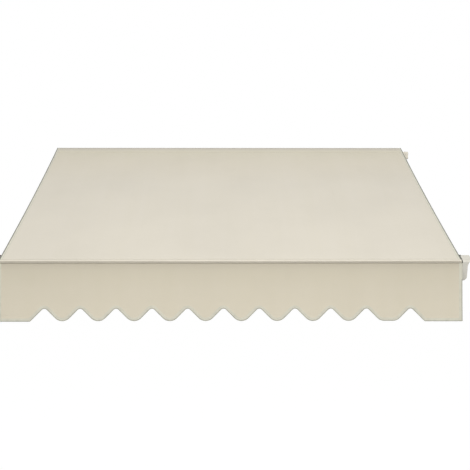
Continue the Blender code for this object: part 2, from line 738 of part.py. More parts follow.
def build_arm_base(side, finishes):
    name = side_name(side)
    middle = side * SHOULDER_X
    low, high = middle - MOUNT_HALF, middle + MOUNT_HALF
    base = prism(f"arm_base_{name}", "X", bar_collar_outline(), low, high, finishes["paint"])
    front = BAR_FORWARD + BAR_HALF + COLLAR_WALL
    half_root = BAR_HALF + COLLAR_WALL - COLLAR_CORNER
    root = rectangle(front - JOINED_IN, front + JOINED_IN / 2, -half_root, half_root - JOINED_IN)
    lower_end = circle(LOCK_ROUND, 10, TILT_AXIS + lock_point(-PITCH_DOWN))
    upper_end = circle(LOCK_ROUND, 10, TILT_AXIS + lock_point(PITCH_UP))
    cheek_outline = hull(root, circle(CHEEK_ROUND, 12, TILT_AXIS), lower_end, upper_end)
    cheeks = []
    for edge, word in ((low, "outer"), (high - CHEEK, "inner")):
        faces = (edge, edge + CHEEK)
        cheeks.append(prism(f"cheek_{word}_{name}", "X", cheek_outline, *faces, finishes["paint"]))
    join(base, *cheeks)

    spread = (low - PAST_FACE, high + PAST_FACE)
    bar_hole = rounded(BAR_SIZE + 2 * GAP, BAR_SIZE + 2 * GAP, BAR_CORNER, BAR_AXIS)
    pin_hole = circle(TILT_PIN_RADIUS + RUNNING_GAP, 12, TILT_AXIS)
    slot_half = LOCK_PIN_RADIUS + RUNNING_GAP
    slot_steps = 4
    start = math.atan2(*lock_point(-PITCH_DOWN - SLOT_SLACK).yx)
    sweep = PITCH_DOWN + PITCH_UP + 2 * SLOT_SLACK
    ends = (start + sweep, start)
    outer_arc = circle(LOCK_RADIUS + slot_half, slot_steps, TILT_AXIS, start, sweep)
    inner_arc = circle(LOCK_RADIUS - slot_half, slot_steps, TILT_AXIS, ends[0], -sweep)
    far_centre = TILT_AXIS + LOCK_RADIUS * Vector((math.cos(ends[0]), math.sin(ends[0])))
    near_centre = TILT_AXIS + LOCK_RADIUS * Vector((math.cos(start), math.sin(start)))
    far_round = circle(slot_half, 4, far_centre, ends[0], math.pi)
    near_round = circle(slot_half, 4, near_centre, start + math.pi, math.pi)
    slot = outer_arc + far_round[1:-1] + inner_arc + near_round[1:-1]
    cut(
        base,
        prism(f"base_bar_hole_{name}", "X", bar_hole, *spread, finishes["paint"]),
        prism(f"base_pin_hole_{name}", "X", pin_hole, *spread, finishes["paint"]),
        prism(f"lock_slot_{name}", "X", slot, *spread, finishes["paint"]),
    )


def build_yoke(side, tilt, finishes):
    """Drawn in the tilted frame, with the tilt axis as its origin."""
    name = side_name(side)
    half = MOUNT_HALF - CHEEK - RUNNING_GAP
    ear_low = BARREL_HALF + RUNNING_GAP
    ear_high = ear_low + EAR
    web_front, web_back = SHOULDER_REACH - BARREL_RADIUS - YOKE_WEB_CLEAR, YOKE_WEB_BACK
    lock = Vector(Matrix.Rotation(PITCH, 2) @ lock_point())
    tail = hull(
        circle(YOKE_ROUND, 14),
        circle(YOKE_TAIL_ROUND, 12, lock),
        rectangle(web_back, web_front, -ear_high * 0.6, ear_high * 0.6),
    )
    yoke = prism(f"arm_yoke_{name}", "X", tail, -half, half, finishes["paint"], tilt)
    web_outline = rectangle(web_back, web_front, -ear_high, ear_high)
    web = prism(f"yoke_web_{name}", "X", web_outline, -half, half, finishes["paint"], tilt)
    ear_outline = hull(
        circle(BARREL_RADIUS, 16, (0, -SHOULDER_REACH)),
        rectangle(-half, half, -web_front, -web_back),
    )
    ears = []
    for word, low in (("top", ear_low), ("bottom", -ear_high)):
        faces = (low, low + EAR)
        ears.append(prism(f"yoke_ear_{word}_{name}", "Z", ear_outline, *faces, finishes["paint"], tilt))
    join(yoke, web, *ears)
    spread = (-half - PAST_FACE, half + PAST_FACE)
    tilt_bore = circle(TILT_PIN_RADIUS + GAP, 12)
    lock_bore = circle(LOCK_PIN_RADIUS + GAP, 12, lock)
    pin_bore = circle(PIN_RADIUS + GAP, 12, (0, -SHOULDER_REACH))
    beyond = ear_high + PAST_FACE
    cut(
        yoke,
        prism(f"yoke_tilt_bore_{name}", "X", tilt_bore, *spread, finishes["paint"], tilt),
        prism(f"yoke_lock_bore_{name}", "X", lock_bore, *spread, finishes["paint"], tilt),
        prism(f"yoke_pin_bore_{name}", "Z", pin_bore, -beyond, beyond, finishes["paint"], tilt),
    )
    reach = MOUNT_HALF + GAP
    tilt_sizes = (-reach, reach, TILT_PIN_RADIUS)
    headed_pin(f"tilt_pin_{name}", *tilt_sizes, finishes["zinc"], tilt, "X", TILT_PIN_HEAD, TILT_NUT_FLATS)
    lock_sizes = (-reach, reach, LOCK_PIN_RADIUS)
    bolt_name = f"lock_bolt_{name}"
    bolt = headed_pin(bolt_name, *lock_sizes, finishes["zinc"], tilt, "X", LOCK_PIN_HEAD, LOCK_NUT_FLATS)
    bolt.location = space(lock)
    pin_reach = ear_high + GAP
    pin = headed_pin(f"shoulder_pin_{name}", -pin_reach, pin_reach, PIN_RADIUS, finishes["zinc"], tilt)
    pin.location = (0, -SHOULDER_REACH, 0)


# Arms. Each link runs along its own +X on the left arm, and along -X on the right one.

def profile(width, height, inset=0.0):
    """An arm's section as (across, up), beside the line between its two pivots."""
    across = width - 2 * inset
    tall = height - 2 * inset
    return rounded(across, tall, ARM_CORNER - inset, (ARM_OFFSET + width / 2, 0))


def section_along(outline, hand, places):
    """Sections across local X for the arm profiles: (across, up) becomes local (Y, Z)."""
    return [([(-p[0], p[1]) for p in outline], hand * place) for place in places]


def arm_tube(name, width, height, start, end, hand, finishes, parent):
    outer = section_along(profile(width, height), hand, (start, end))
    beyond = (start - PAST_FACE, end + PAST_FACE)
    bore = section_along(profile(width, height, ARM_WALL), hand, beyond)
    tube = loft(name, "X", outer, finishes["paint"], parent, smooth=True)
    return cut(tube, loft(f"bore_{name}", "X", bore, finishes["paint"], parent))


def fitting_root(name, width, height, neck_end, inward, hand, finishes, parent):
    """The collar that meets an arm tube, and its plug. inward is +1 where the tube lies further on."""
    proud = profile(width + 2 * COLLAR_PROUD, height + 2 * COLLAR_PROUD)
    proud = moved(proud, (-COLLAR_PROUD, 0))
    plug = profile(width, height, ARM_WALL + GAP)
    collar_end = neck_end + inward * FITTING_COLLAR
    plug_end = collar_end + inward * (GAP + FITTING_PLUG)
    rings = section_along(proud, hand, (neck_end, collar_end))
    collar = loft(name, "X", rings, finishes["paint"], parent)
    plug_rings = section_along(plug, hand, (collar_end - inward * JOINED_IN, plug_end))
    return join(collar, loft(f"stub_{name}", "X", plug_rings, finishes["paint"], parent))


def build_eye_fitting(name, width, height, centre, inward, radius, half, hand, finishes, parent):
    """A fitting with one round eye, for the shoulder or the wrist."""
    neck_end = centre + inward * NECK
    fitting = fitting_root(name, width, height, neck_end, inward, hand, finishes, parent)
    near = sorted((neck_end, neck_end + inward * 2 * JOINED_IN))
    root = rectangle(*near, ARM_OFFSET / 2, ARM_OFFSET + width)
    outline = flipped(hull(circle(radius, 16, (centre, 0)), root), hand)
    neck = prism(f"neck_{name}", "Z", outline, -half, half, finishes["paint"], parent)
    join(fitting, neck)
    bore = flipped(circle(PIN_RADIUS + RUNNING_GAP, 12, (centre, 0)), hand)
    beyond = half + PAST_FACE
    return cut(fitting, prism(f"eye_{name}", "Z", bore, -beyond, beyond, finishes["paint"], parent))


def cable_channel(name, low, high, hand, finishes, parent):
    reach = CABLE_RADIUS + CABLE_PLAY
    middle = ELBOW_RADIUS + GAP + CABLE_RADIUS
    outline = rectangle(-middle - reach, -middle + reach, -reach, reach)
    faces = (hand * low, hand * high)
    return prism(f"channel_{name}", "X", outline, *faces, finishes["paint"], parent)


def build_fork(hand, name, finishes, parent):
    """The elbow end of the upper arm: two ears with the cable's way between them."""
    neck_end = ARM_LENGTH - ELBOW_NECK
    fork = fitting_root(name, UPPER_WIDTH, UPPER_HEIGHT, neck_end, -1, hand, finishes, parent)
    outline = hull(
        circle(ELBOW_RADIUS, 16, (ARM_LENGTH, 0)),
        rectangle(neck_end - 3 * JOINED_IN, neck_end + JOINED_IN, EAR_CLEAR, ARM_OFFSET + UPPER_WIDTH),
    )
    low = TONGUE_HALF + RUNNING_GAP
    ears = []
    for word, start in (("top", low), ("bottom", -low - FORK_EAR)):
        faces = (start, start + FORK_EAR)
        ears.append(prism(f"{word}_{name}", "Z", flipped(outline, hand), *faces, finishes["paint"], parent))
    join(fork, *ears)
    bore = flipped(circle(PIN_RADIUS + GAP, 12, (ARM_LENGTH, 0)), hand)
    channel_start = neck_end - FITTING_COLLAR - FITTING_PLUG - PAST_FACE
    beyond = low + FORK_EAR + PAST_FACE
    return cut(
        fork,
        prism(f"bore_{name}", "Z", bore, -beyond, beyond, finishes["paint"], parent),
        cable_channel(name, channel_start, neck_end + PAST_FACE, hand, finishes, parent),
    )


def build_tongue(hand, name, finishes, parent):
    """The elbow end of the forearm: a drum that the cable lies on, between the fork's ears."""
    tongue = fitting_root(name, FORE_WIDTH, FORE_HEIGHT, ELBOW_NECK, 1, hand, finishes, parent)
    outline = hull(
        circle(ELBOW_RADIUS, 20),
        rectangle(ELBOW_NECK - JOINED_IN, ELBOW_NECK + 2 * JOINED_IN, ARM_OFFSET / 2, ELBOW_RADIUS),
    )
    faces = (-TONGUE_HALF, TONGUE_HALF)
    join(tongue, prism(f"drum_{name}", "Z", flipped(outline, hand), *faces, finishes["paint"], parent))
    bore = flipped(circle(PIN_RADIUS + RUNNING_GAP, 12), hand)
    beyond = TONGUE_HALF + PAST_FACE
    channel_end = ELBOW_NECK + CABLE_ANCHOR + 2 * JOINED_IN
    return cut(
        tongue,
        prism(f"bore_{name}", "Z", bore, -beyond, beyond, finishes["paint"], parent),
        cable_channel(name, ELBOW_NECK - PAST_FACE, channel_end, hand, finishes, parent),
    )


def build_spring(hand, name, start, end, finishes, parent):
    """A tension spring between two end discs, drawn open enough to count its turns."""
    middle = ARM_OFFSET + UPPER_WIDTH / 2
    steps = SPRING_TURNS * 6
    points = []
    for i in range(steps + 1):
        angle = 2 * math.pi * i / 6
        along = start + SPRING_DISC / 2 + (end - start - SPRING_DISC) * i / steps
        across, up = SPRING_RADIUS * math.cos(angle), SPRING_RADIUS * math.sin(angle)
        points.append((hand * along, middle + across, up))
    coil = tube_along(f"coil_{name}", points, SPRING_WIRE, finishes["zinc"], parent, 0)
    coil_mesh = bpy.data.meshes.new_from_object(coil.evaluated_get(bpy.context.evaluated_depsgraph_get()))
    bpy.data.objects.remove(coil)
    shape = bmesh.new()
    shape.from_mesh(coil_mesh)
    bmesh.ops.remove_doubles(shape, verts=shape.verts, dist=MERGE)
    bmesh.ops.recalc_face_normals(shape, faces=shape.faces)
    shape.to_mesh(coil_mesh)
    shape.free()
    spring = new_object(name, coil_mesh, finishes["zinc"], parent)
    disc = circle(SPRING_RADIUS + SPRING_WIRE, 12, (-middle, 0))
    ends = []
    for word, low in (("rear", start), ("front", end - SPRING_DISC)):
        sections = [(disc, hand * low), (disc, hand * (low + SPRING_DISC))]
        ends.append(loft(f"{word}_disc_{name}", "X", sections, finishes["zinc"], parent))
    return join(spring, *ends)


def cable_points(hand, rear):
    """From the spring along the upper arm, round the elbow drum and into the forearm."""
    radius = ELBOW_RADIUS + GAP + CABLE_RADIUS
    bend = math.pi - 2 * OPEN_ANGLE
    points = [Vector((rear + (ARM_LENGTH - rear) * i / 3, radius, 0)) for i in range(3)]
    for i in range(5):
        angle = math.pi / 2 - bend * i / 4
        points.append(Vector((ARM_LENGTH + radius * math.cos(angle), radius * math.sin(angle), 0)))
    onward = Vector((math.cos(bend), -math.sin(bend), 0))
    last = points[-1].copy()
    anchor = ELBOW_NECK + CABLE_ANCHOR
    points += [last + onward * anchor * i / 2 for i in (1, 2)]
    return [Vector((hand * p.x, p.y, p.z)) for p in points]


def build_arm(side, tilt, finishes):
    """The chain of pivots and links of one arm. Returns the wrist pivot."""
    name = side_name(side)
    hand = -side
    shoulder = pivot(f"shoulder_axis_{name}", (0, -SHOULDER_REACH, 0), (0, 0, -hand * OPEN_ANGLE), tilt)
    fold = hand * (2 * OPEN_ANGLE - math.pi)
    elbow = pivot(f"elbow_axis_{name}", (hand * ARM_LENGTH, 0, 0), (0, 0, fold), shoulder)
    level = hand * (math.pi - OPEN_ANGLE)
    wrist = pivot(f"wrist_axis_{name}", (hand * ARM_LENGTH, 0, 0), (0, 0, level), elbow)

    tube_start = NECK + FITTING_COLLAR + GAP
    tube_end = ARM_LENGTH - ELBOW_NECK - FITTING_COLLAR - GAP
    arm_tube(f"upper_arm_{name}", UPPER_WIDTH, UPPER_HEIGHT, tube_start, tube_end, hand, finishes, shoulder)
    knuckle = (UPPER_WIDTH, UPPER_HEIGHT, 0.0, 1, BARREL_RADIUS, BARREL_HALF)
    build_eye_fitting(f"shoulder_knuckle_{name}", *knuckle, hand, finishes, shoulder)
    build_fork(hand, f"elbow_fork_{name}", finishes, shoulder)
    spring_start = tube_start + FITTING_PLUG + 2 * GAP
    spring_end = tube_end - FITTING_PLUG - CABLE_LEAD
    build_spring(hand, f"arm_spring_{name}", spring_start, spring_end, finishes, shoulder)
    cable = cable_points(hand, spring_end + GAP)
    tube_along(f"arm_cable_{name}", cable, CABLE_RADIUS, finishes["cable"], shoulder, 1)
    ear = TONGUE_HALF + RUNNING_GAP + FORK_EAR + GAP
    pin = headed_pin(f"elbow_pin_{name}", -ear, ear, PIN_RADIUS, finishes["zinc"], shoulder)
    pin.location = (hand * ARM_LENGTH, 0, 0)

    fore_start = ELBOW_NECK + FITTING_COLLAR + GAP
    fore_end = ARM_LENGTH - NECK - FITTING_COLLAR - GAP
    arm_tube(f"forearm_{name}", FORE_WIDTH, FORE_HEIGHT, fore_start, fore_end, hand, finishes, elbow)
    build_tongue(hand, f"elbow_tongue_{name}", finishes, elbow)
    eye = (FORE_WIDTH, FORE_HEIGHT, ARM_LENGTH, -1, WRIST_RADIUS, WRIST_HALF)
    build_eye_fitting(f"wrist_knuckle_{name}", *eye, hand, finishes, elbow)
    return wrist


# Front bar, its caps and the brackets that hold the wrists

def front_outline():
    """The bar's section as (forward, up), with a nose for the valance and a top that follows the canopy."""
    top = [FOLD - NOSE_RADIUS * CLOTH_ALONG - GAP * CLOTH_NORMAL]
    back = FOLD.x - FRONT_DEPTH
    run = (FRONT_DEPTH - FRONT_BACK_STEP) / CLOTH_ALONG.x
    top.append(FOLD - run * CLOTH_ALONG - GAP * CLOTH_NORMAL)
    nose = circle(NOSE_RADIUS, 8, NOSE, math.radians(-70), math.radians(150))
    bottom = FOLD.y - FRONT_DROP
    lean = FOLD.x - NOSE_RADIUS - FRONT_LEAN
    heel_centre = (back + HEEL_RADIUS, bottom + HEEL_RADIUS)
    heel = circle(HEEL_RADIUS, 3, heel_centre, math.pi, math.pi / 2)
    toe = circle(TOE_RADIUS, 3, (lean - TOE_RADIUS, bottom + TOE_RADIUS), -math.pi / 2, math.pi / 2)
    upper_back = [(back, top[1].y - FRONT_BACK_STEP)]
    throat = [(NOSE.x - VALANCE_SLOT_HALF - THROAT_WALL, NOSE.y - NOSE_RADIUS - THROAT_DROP)]
    return [tuple(p) for p in top] + upper_back + heel + toe + throat + nose


def build_front_bar(finishes):
    half = FABRIC_WIDTH / 2
    spread = (-half - PAST_FACE, half + PAST_FACE)
    bar = prism("front_bar", "X", front_outline(), -half, half, finishes["paint"])
    groove = circle(GROOVE_RADIUS, 12, NOSE)
    slot = rectangle(NOSE.x - VALANCE_SLOT_HALF, NOSE.x + VALANCE_SLOT_HALF, NOSE.y - PAST_FACE, NOSE.y)
    seat = canopy_groove_centre()
    top_slot = [
        seat + CANOPY_SLOT_HALF * CLOTH_ALONG,
        seat + CANOPY_SLOT_HALF * CLOTH_ALONG + PAST_FACE * CLOTH_NORMAL,
        seat - CANOPY_SLOT_HALF * CLOTH_ALONG + PAST_FACE * CLOTH_NORMAL,
        seat - CANOPY_SLOT_HALF * CLOTH_ALONG,
    ]
    back = FOLD.x - FRONT_DEPTH
    track_up = FOLD.y - TRACK_BELOW_FOLD
    track = rectangle(back - PAST_FACE, back + TRACK_DEPTH, track_up - TRACK_HALF, track_up + TRACK_HALF)
    pocket = back + FRONT_WALL
    web = TRACK_HALF + FRONT_WALL
    chamber = front_chamber()
    chamber += [
        (pocket, chamber[-1][1]),
        (pocket, track_up + web),
        (chamber[-1][0], track_up + web),
        (chamber[-1][0], track_up - web),
        (pocket, track_up - web),
        (pocket, chamber[0][1]),
    ]
    return cut(
        bar,
        prism("valance_groove", "X", groove, *spread, finishes["paint"]),
        prism("valance_slot", "X", slot, *spread, finishes["paint"]),
        prism("canopy_groove", "X", circle(GROOVE_RADIUS, 12, seat), *spread, finishes["paint"]),
        prism("canopy_slot", "X", top_slot, *spread, finishes["paint"]),
        prism("bracket_track", "X", track, *spread, finishes["paint"]),
        prism("front_chamber", "X", chamber, *spread, finishes["paint"]),
    )


def front_chamber():
    """The main hollow of the front bar, in front of the rear track. The caps plug into it."""
    inner_back = FOLD.x - FRONT_DEPTH + TRACK_DEPTH + FRONT_WALL
    lean = FOLD.x - NOSE_RADIUS - FRONT_LEAN
    floor = FOLD.y - FRONT_DROP + FRONT_WALL + FLOOR_CHAMFER
    under_grooves = FOLD.y - GROOVE_WEB
    return [
        (inner_back, floor),
        (lean - FRONT_WALL - FLOOR_CHAMFER, floor),
        (FOLD.x - NOSE_RADIUS - NOSE_WEB, under_grooves - TOE_RADIUS),
        (FOLD.x - CANOPY_GROOVE_SETBACK - HEEL_RADIUS, under_grooves),
        (inner_back, FOLD.y - HEEL_RADIUS),
    ]


def canopy_groove_centre():
    depth = GROOVE_RADIUS + GROOVE_LIP
    return FOLD - CANOPY_GROOVE_SETBACK * CLOTH_ALONG - depth * CLOTH_NORMAL


def build_front_cap(side, finishes):
    """The shape that a side view and a front view share, with a plug into the bar's hollow."""
    name = side_name(side)
    start = FABRIC_WIDTH / 2 + SEAL_GAP
    side_view = grown(hull(front_outline()), CAP_PROUD)
    low = min(p[1] for p in side_view)
    high = max(p[1] for p in side_view)
    faces = (side * start, side * (start + CAP_WIDTH))
    cap = prism(f"front_cap_{name}", "X", side_view, *faces, finishes["plastic"])
    lower_end = start + CAP_LOWER_WIDTH
    middle = (lower_end - CAP_BOTTOM_RADIUS, low + CAP_BOTTOM_RADIUS)
    step = FOLD.y - CAP_STEP_DROP
    past = JOINED_IN / 2
    shoulder = (start + CAP_WIDTH + past, step)
    blend = circle(1, 4, (1, 0), math.pi, -math.pi / 2)
    reach = CAP_BLEND_SHARE * (shoulder[0] - lower_end)
    sweep = [(lower_end + reach * p[0], step - CAP_BLEND * (1 - p[1])) for p in blend]
    front_view = [(start - past, high + past), (start - past, low - past), (middle[0], low)]
    front_view += circle(CAP_BOTTOM_RADIUS, 6, middle, -math.pi / 2, math.pi / 2)[1:]
    front_view += sweep + [shoulder, (shoulder[0], high + past)]
    front_view = [(side * p[0], p[1]) for p in front_view]
    depth = (FOLD.x - 2 * FRONT_DEPTH, FOLD.x + FRONT_DEPTH)
    outline = prism(f"cap_front_view_{name}", "Y", front_view, *depth, finishes["plastic"])
    combine(cap, "INTERSECT", [outline])
    stub_outline = grown(front_chamber(), -CAP_STUB_PLAY)
    stub = (side * (start - SEAL_GAP - CAP_STUB), side * (start + 2 * JOINED_IN))
    return join(cap, prism(f"cap_stub_{name}", "X", stub_outline, *stub, finishes["plastic"]))


def build_front_bracket(side, finishes):
    """A wrist clevis on a plate whose tongue sits in the bar's rear track. Returns it with its frame."""
    name = side_name(side)
    middle = side * SHOULDER_X
    frame = pivot(f"clevis_frame_{name}", space(WRIST, middle), (PITCH, 0, 0))
    back = FOLD.x - FRONT_DEPTH
    track_up = FOLD.y - TRACK_BELOW_FOLD
    plate_back, plate_front = back - GAP - CLEVIS_PLATE, back - GAP
    half_height = CLEVIS_PLATE_HALF
    plate_outline = rectangle(plate_back, plate_front, track_up - half_height, track_up + half_height)
    faces = (middle - CLEVIS_WIDTH_HALF, middle + CLEVIS_WIDTH_HALF)
    plate = prism(f"front_bracket_{name}", "X", plate_outline, *faces, finishes["paint"])
    tongue_low, tongue_high = track_up - TRACK_HALF + GAP, track_up + TRACK_HALF - GAP
    tongue_outline = rectangle(plate_front - JOINED_IN, back + TRACK_DEPTH - GAP, tongue_low, tongue_high)
    tongue = prism(f"track_tongue_{name}", "X", tongue_outline, *faces, finishes["paint"])
    ear_low = WRIST_HALF + RUNNING_GAP
    ear_high = ear_low + CLEVIS_EAR
    neck = FORE_WIDTH + 3 * JOINED_IN
    web_points = []
    for up in (GAP - ear_high, ear_high - GAP):
        for ahead in (neck, neck + JOINED_IN):
            web_points.append(WRIST + ahead * ALONG + up * NORMAL)
    seat_half = half_height - JOINED_IN
    seat_depth = (plate_back + JOINED_IN / 2, plate_back + JOINED_IN)
    seat = rectangle(*seat_depth, track_up - seat_half, track_up + seat_half)
    web_outline = hull(web_points, seat)
    web_faces = (middle - CLEVIS_WEB_HALF, middle + CLEVIS_WEB_HALF)
    web = prism(f"clevis_web_{name}", "X", web_outline, *web_faces, finishes["paint"])
    ears = []
    root_low, root_high = -neck - 2 * JOINED_IN, -neck + JOINED_IN
    ear_root = rectangle(-CLEVIS_EAR_ROOT, CLEVIS_EAR_ROOT, root_low, root_high)
    outline = hull(circle(WRIST_RADIUS, 16), ear_root)
    for word, low in (("top", ear_low), ("bottom", -ear_high)):
        high = low + CLEVIS_EAR
        ears.append(prism(f"clevis_ear_{word}_{name}", "Z", outline, low, high, finishes["paint"], frame))
    join(plate, tongue, web, *ears)
    bore = circle(PIN_RADIUS + GAP, 12)
    beyond = ear_high + PAST_FACE
    cut(plate, prism(f"clevis_bore_{name}", "Z", bore, -beyond, beyond, finishes["paint"], frame))
    reach = ear_high + GAP
    headed_pin(f"wrist_pin_{name}", -reach, reach, PIN_RADIUS, finishes["zinc"], frame)
    return plate, frame


# Cloth

def build_canopy(finishes):
    """One sheet: it leaves the roll at a tangent and ends round a rod in the front bar's top groove."""
    crest = math.pi / 2 - CANOPY_SLOPE
    steps = 10
    upper = circle(CANOPY_RADIUS + CLOTH, steps, ROLLER_AXIS, crest + WRAP_ANGLE, -WRAP_ANGLE)
    lower = circle(CANOPY_RADIUS, steps, ROLLER_AXIS, crest, WRAP_ANGLE)
    seat = canopy_groove_centre()
    surface = FOLD - CANOPY_GROOVE_SETBACK * CLOTH_ALONG
    neck = math.asin(CLOTH / 2 / HEM_ROD_RADIUS)
    rod = circle(HEM_ROD_RADIUS, 12, seat, crest - neck, 2 * neck - 2 * math.pi)
    front = [surface + CLOTH / 2 * CLOTH_ALONG + CLOTH * CLOTH_NORMAL]
    behind = [surface - CLOTH / 2 * CLOTH_ALONG]
    outline = upper + [tuple(p) for p in front] + rod + [tuple(p) for p in behind] + lower
    half = FABRIC_WIDTH / 2
    return prism("canopy", "X", outline, -half, half, finishes["fabric"])


def scallop_edge():
    """The valance's lower edge from left to right: straight ends, round notches and rounder lobes."""
    half_pitch = SCALLOP_PITCH / 2
    flare = math.cos(FLANK_ANGLE) / (1 - math.cos(FLANK_ANGLE))
    both_radii = (half_pitch * math.tan(FLANK_ANGLE) - SCALLOP_DEPTH) * flare
    lobe_radius = both_radii - NOTCH_RADIUS
    corner_in = lobe_radius * math.tan(FLANK_ANGLE / 2)
    left, low = -FABRIC_WIDTH / 2, FOLD.y - VALANCE_DROP
    edge = [(left, low)]
    for number in range(NOTCHES):
        centre = left + FIRST_NOTCH + number * SCALLOP_PITCH
        if number == NOTCHES - 1:
            centre += LAST_LOBE_EXTRA
        start, stop = centre - half_pitch, centre + half_pitch
        lobe_up = low + lobe_radius
        notch_up = low + SCALLOP_DEPTH - NOTCH_RADIUS
        if number == 0:
            edge.append((start + corner_in, low))
        else:
            edge += circle(lobe_radius, 2, (start, lobe_up), -math.pi / 2, FLANK_ANGLE)
        top = math.pi / 2
        edge += circle(NOTCH_RADIUS, 3, (centre, notch_up), top + FLANK_ANGLE, -2 * FLANK_ANGLE)
        if number == NOTCHES - 1:
            edge.append((stop - corner_in, low))
        else:
            edge += circle(lobe_radius, 2, (stop, lobe_up), -math.pi / 2 - FLANK_ANGLE, FLANK_ANGLE)
    edge.append((-left, low))
    tidy = [edge[0]]
    for point in edge[1:]:
        if math.dist(point, tidy[-1]) > SHORTEST_EDGE:
            tidy.append(point)
    return tidy


def build_valance(finishes):
    """Drawn from its hem rod's axis, which is where it swings. Returns that axis."""
    axis = pivot("valance_axis", space(NOSE))
    half = FABRIC_WIDTH / 2
    outline = [(x, up - NOSE.y) for x, up in scallop_edge()] + [(half, 0), (-half, 0)]
    sheet = prism("valance", "Y", outline, -CLOTH / 2, CLOTH / 2, finishes["fabric"], axis)
    join(sheet, prism("valance_rod", "X", circle(HEM_ROD_RADIUS, 12), -half, half, finishes["fabric"], axis))
    return axis


def hang(pieces, carrier):
    """Hangs pieces from the pivot that carries them, each where it was drawn."""
    bpy.context.view_layer.update()
    for piece in pieces:
        piece.parent = carrier
        piece.matrix_parent_inverse = carrier.matrix_world.inverted()


def main():
    clear_scene()
    finishes = {
        "paint": material("powder_coated_aluminium", (0.80, 0.79, 0.74), 0.42),
        "zinc": material("zinc_plated_steel", (0.55, 0.56, 0.57), 0.38, 1.0),
        "plastic": material("moulded_plastic", (0.76, 0.75, 0.71), 0.50),
        "cable": material("coated_cable", (0.10, 0.10, 0.11), 0.55),
        "fabric": material("coated_polyester", (0.72, 0.67, 0.56), 0.85),
    }
    build_wall_bar(finishes)
    for side in (-1, 1):
        build_wall_bracket(side, finishes)
        build_end_bracket(side, finishes)
        build_arm_base(side, finishes)
    build_bush(finishes)
    roller = build_roller(finishes)
    build_wheel(roller, finishes)
    build_worm(finishes)
    build_gearbox(finishes)
    tilts, wrists = [], []
    front = [build_front_bar(finishes), build_valance(finishes)]
    for side in (-1, 1):
        name = side_name(side)
        tilt = pivot(f"tilt_axis_{name}", space(TILT_AXIS, side * SHOULDER_X), (PITCH, 0, 0))
        build_yoke(side, tilt, finishes)
        tilts.append(tilt)
        wrists.append(build_arm(side, tilt, finishes))
        front += [*build_front_bracket(side, finishes), build_front_cap(side, finishes)]
    hang(front, wrists[0])
    hang([build_canopy(finishes)], tilts[0])


main()
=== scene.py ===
"""Folding arm awning: cloth, cables, small fittings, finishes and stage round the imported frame.

World frame in metres: X runs along the wall, +Z is up, and the cloth reaches out towards -Y.
Side views are (forward, up) pairs, where forward is the distance from the wall.
"""

import json
import math

import bmesh
import bpy
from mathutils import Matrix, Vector


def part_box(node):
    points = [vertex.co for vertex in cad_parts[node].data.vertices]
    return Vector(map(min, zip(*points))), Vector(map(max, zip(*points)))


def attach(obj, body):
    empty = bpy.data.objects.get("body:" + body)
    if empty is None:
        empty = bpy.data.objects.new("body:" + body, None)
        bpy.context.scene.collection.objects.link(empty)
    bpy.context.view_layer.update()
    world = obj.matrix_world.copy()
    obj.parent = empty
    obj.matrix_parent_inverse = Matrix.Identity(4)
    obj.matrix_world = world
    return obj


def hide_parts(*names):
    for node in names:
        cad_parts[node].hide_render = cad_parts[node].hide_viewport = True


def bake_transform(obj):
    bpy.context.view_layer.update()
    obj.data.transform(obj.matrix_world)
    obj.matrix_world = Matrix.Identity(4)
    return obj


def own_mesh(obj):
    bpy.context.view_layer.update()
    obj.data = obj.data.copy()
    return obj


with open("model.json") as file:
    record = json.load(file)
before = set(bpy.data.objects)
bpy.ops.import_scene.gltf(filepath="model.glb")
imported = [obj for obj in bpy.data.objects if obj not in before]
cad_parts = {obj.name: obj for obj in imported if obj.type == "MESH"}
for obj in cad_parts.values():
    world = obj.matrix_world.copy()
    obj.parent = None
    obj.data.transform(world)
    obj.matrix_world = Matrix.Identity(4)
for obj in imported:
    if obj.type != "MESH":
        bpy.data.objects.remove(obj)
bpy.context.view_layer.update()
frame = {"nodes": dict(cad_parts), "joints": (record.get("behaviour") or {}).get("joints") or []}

bl_info = {
    "name": "Folding arm awning",
    "version": (1, 0, 0),
    "blender": (4, 5, 0),
    "location": "3D View > Sidebar > Awning",
    "description": "Dresses a packed folding arm awning with cloth, cables, fittings and finishes",
    "category": "Object",
}

NODES = frame["nodes"]
PLACE = {joint["name"]: Vector(joint["pos_m"]) for joint in frame["joints"]}

# Side-view places from the frame, and the sizes of what holds the cloth
CLOTH_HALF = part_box("front_bar")[1].x
ROLLER = (-PLACE["roller_turn"].y, PLACE["roller_turn"].z)
NOSE = (-PLACE["valance_hang"].y, PLACE["valance_hang"].z)
NOSE_RADIUS = 0.0041
ROLL_RADIUS = 0.0393
TUBE_RADIUS = 0.0353
FOLD = Vector((NOSE[0] + NOSE_RADIUS, NOSE[1] + NOSE_RADIUS + 0.0003))
GROOVE_SETBACK = 0.016
GROOVE_DEPTH = 0.0039
LIP_RADIUS = 0.0008
LIP_RUN = 0.050
KEDER_RADIUS = 0.0019
LEAD_WRAP = math.radians(95)
BOUND_LAYERS = 2.2
STITCH_INSET = 0.001

# The arms and what is fitted to them
ARM_PITCH = math.radians(20)
ARM_AXIS = Vector((0, -math.sin(ARM_PITCH), math.cos(ARM_PITCH)))
ELBOW_RADIUS = 0.0215
CABLE_RADIUS = 0.0024
DRUM_CLEARANCE = 0.0003
CABLE_BEFORE_ELBOW = (0.16, 0.12, 0.08, 0.05, 0.03, 0.015)
CABLE_AFTER_ELBOW = (0.012, 0.026, 0.040, 0.050)
# A black ring and pip in the gap between the front bar and each end cap are painted shadow of that gap
CAP_GAP = 0.003
GAP_SHADOW_CLEARANCE = 0.0002
GAP_SHADOW_EDGE = 0.0003

